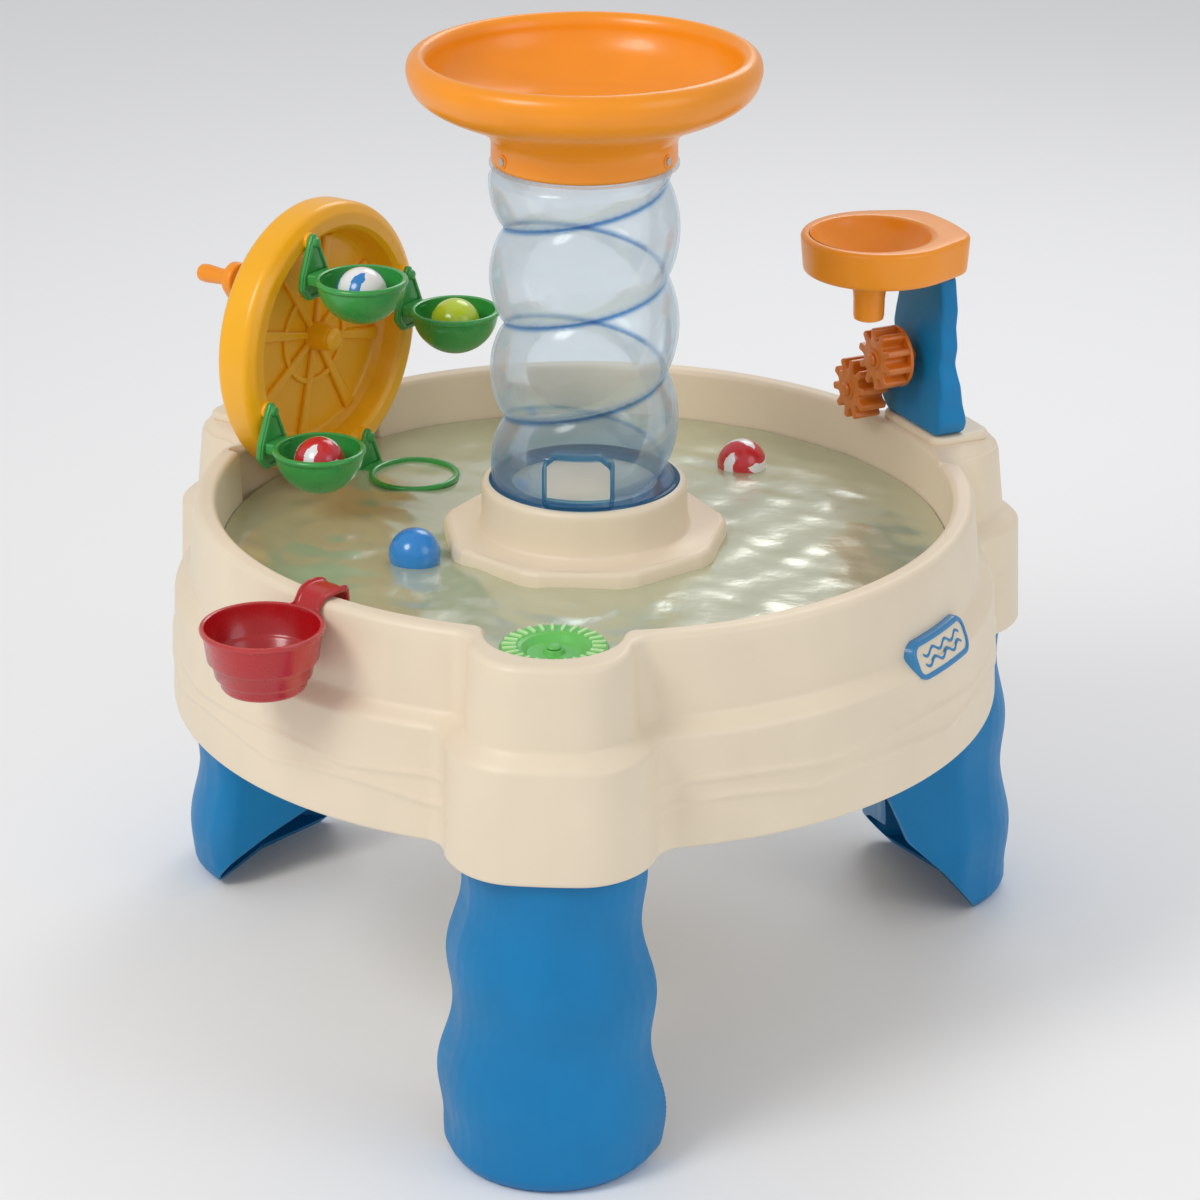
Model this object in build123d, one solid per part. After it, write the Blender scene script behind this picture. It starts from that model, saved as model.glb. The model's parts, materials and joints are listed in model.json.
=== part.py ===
from build123d import *
import math
import os

# Sand and water table: a three-lobed basin on three legs, with a screw-shaped tower and a large
# funnel at its centre, a picture wheel on the left lobe, a small funnel with paddles on the right
# lobe and a spinner in the front lobe. Millimetres, +Z up, floor at Z = 0, front towards -Y.
# Pieces are modelled about the tower axis. save() moves them by Y_SHIFT, which puts the origin
# at the centre of the footprint. Pieces on a lobe are drawn with x as the distance out from the
# tower axis and y across the lobe, then turned to the lobe's azimuth.
Y_SHIFT = 40.067
FRONT = -90.0
RIGHT = FRONT + 120.0
LEFT = RIGHT + 120.0
LOBES = (FRONT, RIGHT, LEFT)

# Heights and places shared between pieces
WALL = 4.0
RIM_Z = 508.0
SKIRT_Z = 310.0           # lower edge of the skirt
FLOOR_Z = 370.0           # inside floor of the basin
SEAT_Z = 350.0            # top of the legs
LEG_SCREWS = ((345.0, -40.0), (430.0, -38.0), (428.0, 42.0))     # x, y on each lobe
PLATFORM_Z = 515.7        # top of the post platforms
TUBE_BOTTOM, TUBE_TOP = 511.0, 836.0
FOOT_R = 93.0             # foot ring of the tower
BAY_X, BAY_Z = 359.0, 440.0       # round bay in the front lobe: centre and floor
SPIN_X = 360.0            # spinner axis in that bay
DRAIN_X, DRAIN_Y, DRAIN_R = 120.0, 220.0, 9.0

os.makedirs("parts", exist_ok=True)


def turn(azimuth, shape):
    return Rot(0, 0, azimuth) * shape


def save(name, *shapes):
    """Shift the shapes to the file origin and write their solids as one STEP file."""
    solids = []
    for shape in shapes:
        solids += list((Pos(0, Y_SHIFT, 0) * shape).solids())
    piece = solids[0] if len(solids) == 1 else Compound(children=solids)
    export_step(piece, f"parts/{name}.step")


def around(half, centre=0.0):
    return centre - half, centre + half


def box(x_span, y_span, z_span):
    spans = (x_span, y_span, z_span)
    middle = [(low + high) / 2 for low, high in spans]
    return Pos(*middle) * Box(*[high - low for low, high in spans])


def cyl(radius, bottom, top, x=0.0, y=0.0):
    return Pos(x, y, (bottom + top) / 2) * Cylinder(radius, top - bottom)


def cone(radius_low, radius_high, bottom, top, x=0.0, y=0.0):
    return Pos(x, y, (bottom + top) / 2) * Cone(radius_low, radius_high, top - bottom)


def rod(radius, start, end, y=0.0, z=0.0):
    """Cylinder lying along x."""
    return Pos((start + end) / 2, y, z) * Rot(0, 90, 0) * Cylinder(radius, end - start)


def polygon(points):
    return make_face(Polyline(*points, close=True))


def spun(points):
    """Solid of revolution about Z from (radius, z) points."""
    return revolve(Plane.XZ * polygon(points), Axis.Z)


def side_profile(points, half_width):
    """(x, z) outline extruded both ways across the lobe."""
    return extrude(Plane.XZ * polygon(points), half_width, both=True)


def face_profile(points, x, depth):
    """(y, z) outline extruded outward from x."""
    return extrude(Plane.YZ.offset(x) * polygon(points), depth)


def round_inner_end(part, radius):
    """Fillet the circular edge nearest the tower."""
    return fillet(part.edges().filter_by(GeomType.CIRCLE).sort_by(Axis.X)[0], radius)


def loft_levels(outlines):
    """Ruled solid through a list of plan outlines."""
    solid = None
    for low, high in zip(outlines, outlines[1:]):
        segment = loft([low.faces()[0], high.faces()[0]], ruled=True)
        solid = segment if solid is None else solid + segment
    return solid


# ---------------------------------------------------------------- basin
# Plan outlines: circle radius, lobe reach, lobe half width, lobe corner radius
SKIRT_LOW = (405.0, 476.0, 97.0, 66.0)
SKIRT_HIGH = (400.0, 471.0, 94.0, 64.0)
UPPER_LOW = (385.0, 455.0, 77.0, 54.0)
UPPER_HIGH = (378.0, 448.0, 73.0, 52.0)
STEP_LOW, STEP_HIGH = 417.0, 431.0     # shoulder between the skirt and the upper wall
KNUCKLE_R = 16.0          # inner corner where a lobe leaves the circle
TUB_LOW_R, TUB_HIGH_R = 351.0, 357.0
BAY_R = 62.0
POCKET_X, POCKET_HALF, POCKET_Z = 350.0, 112.0, 446.0    # flat-walled pocket below the wheel
PEDESTAL_R, PEDESTAL_Z = 100.0, 517.0
LEDGE_R, LEDGE_Z = 142.0, 470.0        # ring ledge round the pedestal


def lobed(outline, inset, z):
    """A circle with three rounded lobes, inset all round, at height z."""
    radius, reach, half_width, corner = outline
    plan = Circle(radius - inset)
    for azimuth in LOBES:
        slab = Pos(reach / 2, 0) * Rectangle(reach, 2 * (half_width - inset))
        lobe = Circle(reach - inset) & slab
        tips = [v for v in lobe.vertices() if v.X > reach * 0.6]
        plan = plan + turn(azimuth, fillet(tips, corner - inset))
    roots = [v for v in plan.vertices() if abs(math.hypot(v.X, v.Y) - (radius - inset)) < 0.05]
    return Pos(0, 0, z) * fillet(roots, KNUCKLE_R + inset)


def body(inset, bottom, top):
    return loft_levels([
        lobed(SKIRT_LOW, inset, bottom),
        lobed(SKIRT_HIGH, inset, STEP_LOW - inset * 0.4),
        lobed(UPPER_LOW, inset, STEP_HIGH - inset * 0.4),
        lobed(UPPER_HIGH, inset, top),
    ])


def tub(grow):
    """The hollow that holds the water, grown outward by grow."""
    bottom, top = FLOOR_Z - grow, RIM_Z + 0.01
    hollow = cone(TUB_LOW_R + grow, TUB_HIGH_R + grow, bottom, top)
    hollow += cyl(BAY_R + grow, BAY_Z - grow, top, 0, -BAY_X)
    hollow += box(around(BAY_R + grow), (-BAY_X, -300), (BAY_Z - grow, top))
    hollow += turn(LEFT, box((300, POCKET_X + grow), around(POCKET_HALF + grow),
                             (POCKET_Z - grow, top)))
    hollow -= cyl(PEDESTAL_R - grow, bottom - 1, PEDESTAL_Z)
    hollow -= cyl(LEDGE_R - grow, bottom - 1, LEDGE_Z - grow)
    return hollow


def make_basin():
    outer = body(0.0, SKIRT_Z, RIM_Z)
    # Guards the rim rounding: if the fillet fails, the rim stays sharp.
    try:
        outer = fillet(outer.faces().sort_by(Axis.Z)[-1].edges(), 7.0)
    except Exception:
        pass
    basin = outer + cyl(PEDESTAL_R, FLOOR_Z, PEDESTAL_Z) - tub(0.0)
    # Hollow the underside, leaving a wall of even thickness
    void = body(WALL, SKIRT_Z - 0.01, RIM_Z - WALL) - tub(WALL)
    void += cyl(PEDESTAL_R - WALL, FLOOR_Z - WALL - 1, PEDESTAL_Z - 10)
    basin -= void
    basin -= cyl(FOOT_R + 0.1, TUBE_BOTTOM, PEDESTAL_Z + 1)
    # Leg seats: a plate with three screw bosses and a plain hole
    for azimuth in LOBES:
        seat = box((332, 466), around(90), (SEAT_Z, SEAT_Z + 4))
        basin += turn(azimuth, seat) & outer
        for x, y in LEG_SCREWS:
            basin += turn(azimuth, cyl(9, SEAT_Z, SEAT_Z + 18, x, y))
            basin -= turn(azimuth, cyl(2.0, SEAT_Z - 1, SEAT_Z + 15, x, y))
        basin -= turn(azimuth, cyl(7, SEAT_Z - 1, SEAT_Z + 5, 395, 60))
    for azimuth in (RIGHT, LEFT):
        platform = box(around(34, 395), around(56), (RIM_Z - 2, PLATFORM_Z))
        basin += turn(azimuth, fillet(platform.edges().filter_by(Axis.Z), 14))
    # Spinner post and drain hole
    basin += cyl(12, BAY_Z - 1, 480, 0, -SPIN_X)
    basin -= cyl(3.0, BAY_Z + 10, 481, 0, -SPIN_X)
    basin -= cyl(DRAIN_R, FLOOR_Z - WALL - 1, FLOOR_Z + 1, DRAIN_X, DRAIN_Y)
    return basin


save("basin", make_basin())


# ---------------------------------------------------------------- legs
LEG_FACE, LEG_CREASE, LEG_KNEE, LEG_APEX = 487.0, 425.0, 385.0, 298.0   # x of outline corners
LEG_MID_X, LEG_MID_Y = 395.0, -8.0     # the outline is scaled about this point
WAVE_PITCH, WAVE_DEPTH = 122.0, 5.0    # ripple up the leg walls
TOE_Z = 16.0              # the foot tapers in below this height
LEG_INNER_SCALE = 0.945
TOE_STATIONS = [0.0, 5.0, 10.0, TOE_Z]
LEG_STATIONS = [44.0, 71.0, 99.0, 128.0, 157.0, 186.0, 214.0, 242.0, 270.0, 299.0, 327.0]
# x, z outline of the cut below the tower side of the leg
LEG_CUT = ((270, -1), (409, -1), (404, 6), (366, 52), (322, 96), (305, 146), (290, 200),
           (270, 200))


def leg_section(z, scale):
    """Outline at height z: curved outer face, long wall towards the tower on the -y side and
    a slanted wall on the tower side."""
    def wave(peak):
        return WAVE_DEPTH * math.cos(2 * math.pi * (z - peak) / WAVE_PITCH)

    base = 111.0 - 0.082 * z
    minus, plus = base + wave(208.0), base + wave(175.0)    # half widths towards -y and +y
    face = LEG_FACE - 0.075 * z + 0.7 * wave(190.0)
    corners = [
        (LEG_APEX, -0.86 * minus), (LEG_KNEE, -minus), (LEG_CREASE, -0.85 * minus),
        (face, (plus - minus) / 2), (LEG_CREASE, 0.85 * plus), (LEG_KNEE, plus),
    ]
    apex, knee, crease, bulge, far_crease, far_knee = [
        (LEG_MID_X + (x - LEG_MID_X) * scale, LEG_MID_Y + (y - LEG_MID_Y) * scale, z)
        for x, y in corners]
    return make_face(Wire([
        Line(apex, knee), Line(knee, crease), ThreePointArc(crease, bulge, far_crease),
        Line(far_crease, far_knee), Line(far_knee, apex),
    ]))


def leg_loft(stations, scale):
    def taper(z):
        return 1.0 - 0.12 * max(0.0, 1.0 - z / TOE_Z) ** 2
    return loft([leg_section(z, taper(z) * scale) for z in stations], ruled=True)


def make_leg():
    outer = leg_loft(TOE_STATIONS + LEG_STATIONS + [SEAT_Z], 1.0)
    inner = leg_loft([4.0, 10.0, TOE_Z] + LEG_STATIONS + [SEAT_Z - 4.0], LEG_INNER_SCALE)
    cut = side_profile(LEG_CUT, 130)
    leg = outer - inner
    leg = leg - cut
    for x, y in LEG_SCREWS:
        leg -= cyl(2.2, SEAT_Z - 5, SEAT_Z + 1, x, y)
    return leg.solids().sort_by(SortBy.VOLUME)[-1]


def leg_screw(x, y):
    return cyl(1.95, SEAT_Z - 4, SEAT_Z + 13, x, y) + cyl(4.5, SEAT_Z - 7, SEAT_Z - 4, x, y)


leg_shape = make_leg()
for side, azimuth in (("front", FRONT), ("right", RIGHT), ("left", LEFT)):
    save(f"leg_{side}", turn(azimuth, leg_shape))
save("leg_screws", *[turn(azimuth, leg_screw(x, y)) for azimuth in LOBES for x, y in LEG_SCREWS])


# ---------------------------------------------------------------- tower
TUBE_R, TUBE_WALL = 82.75, 3.0
THREAD_PITCH, THREAD_OFFSET = 94.5, 8.25
BULGE_Z = 580.0           # height of a bulge on the +X side
SPIGOT_R = 82.7           # ring that enters the large funnel
NECK_SCREWS = [-145.0 + 120.0 * k for k in range(3)]    # azimuths
NECK_SCREW_Z = 847.0
DOOR_HALF = 32.0
DOOR_BOTTOM, DOOR_TOP = 519.0, 565.0


def screw_tube(radius, bottom, top):
    """A disc carried up a small helix, which gives the wide screw-thread wall."""
    phase = -360.0 * (BULGE_Z - bottom) / THREAD_PITCH
    helix = Helix(THREAD_PITCH, top - bottom, THREAD_OFFSET)
    helix = Rot(0, 0, phase) * (Pos(0, 0, bottom) * helix)
    start = helix @ 0
    disc = Pos(start.X, start.Y, start.Z) * Circle(radius)
    return sweep(disc, path=helix, normal=(0, 0, 1))


def make_tower_tube():
    tube = screw_tube(TUBE_R, TUBE_BOTTOM + 2, TUBE_TOP - 1.5)
    tube = tube - screw_tube(TUBE_R - TUBE_WALL, TUBE_BOTTOM + 1, TUBE_TOP)
    foot = cyl(FOOT_R, TUBE_BOTTOM, TUBE_BOTTOM + 6) - cyl(70.0, TUBE_BOTTOM - 1, TUBE_BOTTOM + 7)
    collar = cyl(92.0, TUBE_TOP - 3, TUBE_TOP) - cyl(70.0, TUBE_TOP - 4, TUBE_TOP + 1)
    collar += (cyl(SPIGOT_R, TUBE_TOP - 1, TUBE_TOP + 20)
               - cyl(79.0, TUBE_TOP - 2, TUBE_TOP + 21))
    for azimuth in NECK_SCREWS:
        collar -= turn(azimuth, rod(2.0, 70, 100, 0, NECK_SCREW_Z))
    tube = tube + foot
    tube = tube + collar
    return tube - box(around(DOOR_HALF + 0.1), (-110, -50), (DOOR_BOTTOM - 0.1, DOOR_TOP + 0.1))


def make_door():
    """Open rectangular frame in the front of the tube."""
    frame = box(around(DOOR_HALF), (-96, -72), (DOOR_BOTTOM, DOOR_TOP))
    return frame - box(around(DOOR_HALF - 3), (-97, -71), (DOOR_BOTTOM + 3, DOOR_TOP - 3))


save("tower_tube", make_tower_tube())
save("tower_door", make_door())


# ---------------------------------------------------------------- large funnel
# radius, z round the wall section
FUNNEL = (
    (82.9, 838), (88, 838), (88, 858), (92, 864.5), (100, 871), (110, 877.5), (125, 884),
    (143, 892), (155, 900), (162, 908), (166, 918), (167, 926), (165, 934), (160, 939),
    (154, 940), (149, 936), (147, 924), (140, 908), (128, 895), (112, 884), (96, 878),
    (87, 872), (82.9, 862),
)

funnel = spun(FUNNEL)
for azimuth in NECK_SCREWS:
    funnel -= turn(azimuth, rod(2.2, 78, 100, 0, NECK_SCREW_Z))
save("funnel_large", funnel)

neck_screw = rod(1.95, 80, 88, 0, NECK_SCREW_Z) + rod(4.0, 88, 90.5, 0, NECK_SCREW_Z)
save("funnel_screws", *[turn(azimuth, neck_screw) for azimuth in NECK_SCREWS])


# ---------------------------------------------------------------- picture wheel, left lobe
WHEEL_Z, WHEEL_R = 600.0, 140.0
WHEEL_IN, WHEEL_OUT = 301.0, 344.5     # x of the faces towards and away from the tower
AXLE_R = 5.0
PIVOT_REACH = 121.0       # wheel axis to gondola pivot
PIVOT_ANGLES = [70.5 + step for step in (0, 90, -90, -180)]
PIVOTS = [(PIVOT_REACH * math.cos(math.radians(angle)),
           WHEEL_Z + PIVOT_REACH * math.sin(math.radians(angle))) for angle in PIVOT_ANGLES]
PIN_R = 2.98
# x, z and y, z outlines of the post, which is where the two extrusions overlap
WHEEL_POST_SIDE = (
    (361.5, PLATFORM_Z), (396, PLATFORM_Z), (389, 545), (376, 572), (375, 632), (353, 632),
    (353, 572), (361.5, 548),
)
WHEEL_POST_FACE = (
    (-47, PLATFORM_Z), (47, PLATFORM_Z), (42, 545), (36, 585), (27, 617), (17, 632),
    (-17, 632), (-27, 617), (-36, 585), (-42, 545),
)
CRANK_Y, CRANK_RISE = 30.0, 53.0       # handle from the wheel axis
CRANK_IN, CRANK_OUT = 398.0, 410.0     # faces of the crank arm


def make_wheel():
    rim_r = WHEEL_R - 3.5
    wheel = round_inner_end(rod(WHEEL_R, WHEEL_IN, WHEEL_OUT, 0, WHEEL_Z), 7)
    # Dished face towards the tower, then the hollow outer side and the hollow rim
    wheel -= Pos(WHEEL_IN - 1 + 15.5, 0, WHEEL_Z) * Rot(0, 90, 0) * Cone(113, 104, 31)
    wheel -= rod(rim_r, WHEEL_OUT - 8, WHEEL_OUT + 1, 0, WHEEL_Z)
    wheel -= (rod(rim_r, WHEEL_IN + 4, WHEEL_OUT + 1, 0, WHEEL_Z)
              - rod(116.5, WHEEL_IN, WHEEL_OUT + 2, 0, WHEEL_Z))
    wheel += rod(15, WHEEL_IN + 6, WHEEL_OUT + 6, 0, WHEEL_Z)
    rib = box((WHEEL_IN + 24, WHEEL_IN + 32), around(1.6), (13, 106))
    for k in range(10):
        wheel += Pos(0, 0, WHEEL_Z) * Rot(36.0 * k + 8.0, 0, 0) * rib
    for y, z in PIVOTS:
        wheel += rod(7.5, WHEEL_IN + 3, WHEEL_IN + 16, y, z)
        wheel -= rod(3.0, WHEEL_IN - 1, WHEEL_IN + 14, y, z)
    return wheel - rod(AXLE_R + 0.03, WHEEL_IN - 5, WHEEL_OUT + 10, 0, WHEEL_Z)


def make_wheel_post():
    post = side_profile(WHEEL_POST_SIDE, 80) & face_profile(WHEEL_POST_FACE, 300, 140)
    return post - rod(AXLE_R + 0.05, 340, 380, 0, WHEEL_Z)


def make_crank():
    handle_z = WHEEL_Z + CRANK_RISE
    length = math.hypot(CRANK_Y, CRANK_RISE)
    angle = math.degrees(math.atan2(CRANK_RISE, CRANK_Y))
    ends = (rod(19, CRANK_IN, CRANK_OUT, 0, WHEEL_Z) + rod(12, 378, CRANK_IN + 1, 0, WHEEL_Z)
            + rod(18, CRANK_IN, CRANK_OUT, CRANK_Y, handle_z))
    bar = Pos(0, length / 2, 0) * Box(CRANK_OUT - CRANK_IN, length, 34)
    bar = Pos((CRANK_IN + CRANK_OUT) / 2, 0, WHEEL_Z) * Rot(angle, 0, 0) * bar
    crank = ends + bar + rod(8.5, CRANK_OUT - 1, 452, CRANK_Y, handle_z)
    return crank - rod(AXLE_R, 377, 408, 0, WHEEL_Z)


def gondola_pin(y, z):
    head = WHEEL_IN - 9.2
    return rod(PIN_R, head, WHEEL_IN + 13, y, z) + rod(5.5, WHEEL_IN - 12, head, y, z)


save("wheel_dish", turn(LEFT, make_wheel()))
save("wheel_axle", turn(LEFT, rod(AXLE_R, WHEEL_IN + 6, 408, 0, WHEEL_Z)))
hub_cap = round_inner_end(rod(12, WHEEL_IN + 1, WHEEL_IN + 6, 0, WHEEL_Z), 3)
save("wheel_hub_cap", turn(LEFT, hub_cap))
save("wheel_post", turn(LEFT, make_wheel_post()))
save("wheel_crank", turn(LEFT, make_crank()))
save("gondola_pins", *[turn(LEFT, gondola_pin(y, z)) for y, z in PIVOTS])


# ---------------------------------------------------------------- gondolas and balls
CUP_X, CUP_R, CUP_DEPTH = 237.0, 46.0, 46.0
CUP_DROP = 26.0           # cup rim below the pivot
BALL_R = 25.5
# y, z of the hanger plate from the pivot
HANGER = (
    (0, 12), (7, 2), (20, -30), (23, -44), (12, -58), (-12, -58), (-23, -44), (-20, -30), (-7, 2),
)


def gondola(y, z):
    rim = z - CUP_DROP
    base = rim - CUP_DEPTH
    hanger = face_profile([(y + dy, z + dz) for dy, dz in HANGER], WHEEL_IN - 7, 5)
    hanger -= rod(3.04, WHEEL_IN - 20, WHEEL_IN, y, z)
    neck = box((CUP_X + 38, WHEEL_IN - 5), around(15, y), (rim - 18, rim - 3))
    bowl = cyl(CUP_R, rim - 5, rim, CUP_X, y)
    bowl += Pos(CUP_X, y, 0) * spun([
        (0, base), (12, base + 1), (24, base + 7), (34, base + 17), (41, rim - 16),
        (44, rim - 4), (0, rim - 4)])
    hollow = spun([
        (0, base + 3), (11, base + 4), (22, base + 9.5), (31.5, base + 19),
        (38.3, rim - 15), (41.5, rim - 3), (42, rim + 1), (0, rim + 1)])
    return hanger + neck + bowl - Pos(CUP_X, y, 0) * hollow


for number, (y, z) in enumerate(PIVOTS, 1):
    save(f"gondola_{number}", turn(LEFT, gondola(y, z)))
# One ball in each of the first three cups, 2.2 above the inside bottom, and two in the basin
for colour, (y, z) in zip(("white", "green", "red"), PIVOTS):
    ball_z = z - CUP_DROP - CUP_DEPTH + 3.0 + BALL_R + 2.2
    save(f"ball_{colour}", turn(LEFT, Pos(CUP_X, y, ball_z) * Sphere(BALL_R)))
save("ball_blue", Pos(-158, -76, 463) * Sphere(BALL_R))
save("ball_pink", Pos(146, 209, 458) * Sphere(BALL_R))


# ---------------------------------------------------------------- funnel post, right lobe
POST_IN, POST_TOP = 364.5, 684.0       # face towards the tower, top
PADDLE_UPPER = (0.0, 590.0)            # y, z of the paddle axes
PADDLE_LOWER = (50.0, 543.0)
PADDLE_IN, PADDLE_OUT, PADDLE_TIP = 320.0, 358.0, 31.5
# x, z and y, z outlines of the post
FUNNEL_POST_SIDE = (
    (POST_IN, PLATFORM_Z), (399, PLATFORM_Z), (391, 550), (384, 600), (384, POST_TOP),
    (POST_IN, POST_TOP),
)
FUNNEL_POST_FACE = (
    (-47, PLATFORM_Z), (47, PLATFORM_Z), (56, 524), (66, 534), (67, 552), (56, 566), (44, 590),
    (36, 625), (33, 655), (33, POST_TOP), (-50, POST_TOP), (-52, 660), (-56, 630), (-58, 610),
    (-54, 592), (-60, 572), (-57, 545),
)


def tenon(gap):
    """Tongue on top of the post. With a gap it is the slot for it."""
    return box((368 - gap, 380 + gap), (-40 - gap, 24 + gap), (POST_TOP - 1, POST_TOP + 18 + gap))


def make_funnel_post():
    post = side_profile(FUNNEL_POST_SIDE, 90) & face_profile(FUNNEL_POST_FACE, 350, 60)
    post += tenon(0.0)
    for y, z in (PADDLE_UPPER, PADDLE_LOWER):
        post -= rod(4.0, POST_IN - 1, POST_IN + 15, y, z)
    return post


save("funnel_post", turn(RIGHT, make_funnel_post()))


# ---------------------------------------------------------------- small funnel and paddles
HOPPER_TOP = 722.0
BOWL_X, BOWL_Z = 313.0, 672.0          # bowl axis and bottom


def hopper_outline(inset, z):
    """Round hopper with a flat shelf over the post."""
    lug = Pos(362.5, 0) * Rectangle(79 - 2 * inset, 2 * (56 - inset))
    plan = Pos(323, 0) * Circle(78 - inset)
    plan = plan + fillet(lug.vertices(), 28)
    return Pos(0, 0, z) * plan


def make_small_funnel():
    outer = loft_levels([hopper_outline(3.0, POST_TOP), hopper_outline(0.0, HOPPER_TOP)])
    inner = loft_levels([hopper_outline(6.0, POST_TOP - 0.01),
                         hopper_outline(3.0, HOPPER_TOP - 3)])
    bowl = cone(19, 63, BOWL_Z, HOPPER_TOP, BOWL_X)
    bowl_hollow = cone(11, 60, BOWL_Z, HOPPER_TOP + 0.01, BOWL_X)
    block = box((362, 388), (-48, 32), (POST_TOP, HOPPER_TOP - 2))
    hopper = outer - (inner - bowl - block)
    hopper += bowl & cyl(64, BOWL_Z, HOPPER_TOP, BOWL_X)
    hopper += cyl(15.5, 641, 676, BOWL_X)
    hopper -= bowl_hollow
    hopper -= cyl(11, 636, 680, BOWL_X)
    return hopper - tenon(0.1)


def paddle(axis_at, first_angle, flange):
    """Ten-toothed wheel, with a flange on its outer end if flange is set."""
    wheel = rod(20, PADDLE_IN, PADDLE_OUT)
    tooth = box((PADDLE_IN, PADDLE_OUT), around(4.0), (15, PADDLE_TIP))
    tooth = fillet(tooth.edges().filter_by(Axis.X).sort_by(Axis.Z)[-2:], 2.5)
    for k in range(10):
        wheel += Rot(36.0 * k + first_angle, 0, 0) * tooth
    if flange:
        wheel += rod(31, PADDLE_OUT - 3, PADDLE_OUT)
    wheel = wheel & rod(PADDLE_TIP + 0.3, PADDLE_IN - 1, PADDLE_OUT + 1)
    wheel -= rod(4.05, PADDLE_IN - 1, PADDLE_OUT + 1)
    return Pos(0, *axis_at) * wheel


def paddle_pin(y, z):
    pin = rod(3.99, PADDLE_IN - 2, POST_IN + 14, y, z)
    pin += rod(7, PADDLE_IN - 5, PADDLE_IN - 1, y, z)
    pin += rod(7, PADDLE_OUT + 1.0, POST_IN, y, z)
    return pin


save("funnel_small", turn(RIGHT, make_small_funnel()))
save("paddle_upper", turn(RIGHT, paddle(PADDLE_UPPER, first_angle=10.0, flange=True)))
save("paddle_lower", turn(RIGHT, paddle(PADDLE_LOWER, first_angle=26.0, flange=False)))
save("paddle_pins", *[turn(RIGHT, paddle_pin(y, z)) for y, z in (PADDLE_UPPER, PADDLE_LOWER)])


# ---------------------------------------------------------------- spinner in the front bay
SPIN_Z, SPIN_R = 493.0, 49.5           # top face and radius


def spin_cyl(radius, bottom, top):
    """Cylinder on the spinner axis, heights from the top face."""
    return cyl(radius, SPIN_Z + bottom, SPIN_Z + top, 0, -SPIN_X)


def make_spinner():
    spinner = spin_cyl(SPIN_R, -5, 0) + spin_cyl(30, -12, -3)
    spinner -= cone(22, 30, SPIN_Z - 9, SPIN_Z + 0.1, 0, -SPIN_X)
    spinner += spin_cyl(8, -12, -3)
    rib = Pos(39, 0, 1.0) * Box(13, 2.4, 2.4)
    for k in range(24):
        spinner += Pos(0, -SPIN_X, SPIN_Z) * Rot(0, 0, 15.0 * k) * rib
    return spinner - spin_cyl(3.04, -14, 0)


save("spinner", make_spinner())
save("spinner_pin", cyl(PIN_R, BAY_Z + 12, SPIN_Z - 2.6, 0, -SPIN_X) + spin_cyl(7, -2.6, 1))


# ---------------------------------------------------------------- scoop hung outside the rim
SCOOP_AZIMUTH, SCOOP_X, SCOOP_R = -126.6, 440.5, 57.0
SCOOP_Z, SCOOP_TOP = 441.0, 502.0
# radius, z of the stepped cup and of its hollow
SCOOP_OUTER = (
    (0, SCOOP_Z), (36, SCOOP_Z), (38, SCOOP_Z + 10), (43, SCOOP_Z + 12), (46, SCOOP_Z + 26),
    (50, SCOOP_Z + 28), (53, SCOOP_TOP - 5), (SCOOP_R, SCOOP_TOP - 4), (SCOOP_R, SCOOP_TOP),
    (0, SCOOP_TOP),
)
SCOOP_INNER = (
    (0, SCOOP_Z + 2.5), (33.5, SCOOP_Z + 2.5), (35.5, SCOOP_Z + 12), (40.5, SCOOP_Z + 14.5),
    (43.5, SCOOP_Z + 28), (47.5, SCOOP_Z + 30.5), (50.5, SCOOP_TOP + 1), (0, SCOOP_TOP + 1),
)
# x, z of the hook over the rim
SCOOP_HOOK = (
    (390, SCOOP_TOP), (381.5, 503), (378, 513.5), (344, 513.5), (344, 482), (347.5, 482),
    (347.5, 510), (375, 510), (380, 500), (380.6, SCOOP_TOP - 6), (390, SCOOP_TOP - 6),
)

cup = spun(SCOOP_OUTER)
cup -= spun(SCOOP_INNER)
hook = side_profile(SCOOP_HOOK, 17) - cyl(50.6, SCOOP_Z, 530, SCOOP_X)
save("scoop", turn(SCOOP_AZIMUTH, Pos(SCOOP_X, 0, 0) * cup + hook))


# ---------------------------------------------------------------- drain plug and badge
def make_plug():
    under = FLOOR_Z - WALL
    plug = cyl(DRAIN_R - 0.05, under, FLOOR_Z + 2, DRAIN_X, DRAIN_Y)
    plug = plug + cyl(14, under - 4, under, DRAIN_X, DRAIN_Y)
    plug += cyl(5, under - 14, under - 4, DRAIN_X, DRAIN_Y)
    return plug


def make_badge():
    """Rounded plate lying on the outside of the basin, right of the front lobe."""
    plate = box(around(20, 390), around(52), around(18, 429))
    plate = fillet(plate.edges().filter_by(Axis.X), 12)
    plate = plate & cyl(405.5, 400, 500)
    plate = turn(-28.5, plate) - body(0.0, SKIRT_Z, RIM_Z)
    return plate.solids().sort_by(SortBy.VOLUME)[-1]


save("drain_plug", make_plug())
save("badge", make_badge())
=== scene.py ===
# A toy water table: a cream basin with three lobes on three blue legs. A clear spiral tower with
# a large funnel stands in the middle. The left lobe carries a picture wheel with four hanging
# cups, the right lobe a small funnel over two paddle wheels, and the front lobe a spinner.
#
# The scene is in metres, +Z up, with the front towards -Y. The tower axis stands at
# (0, TOWER_Y). All tables and sizes of the pieces are in millimetres about that axis. A piece
# with an azimuth is drawn in a local frame and then turned about the tower axis: x is the
# distance r outward from the axis, y is the sideways place t, and z is the height.
import json
import math
from math import cos, pi, radians, sin

import bmesh
import bpy
import numpy as np
from mathutils import Matrix, Vector

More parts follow.
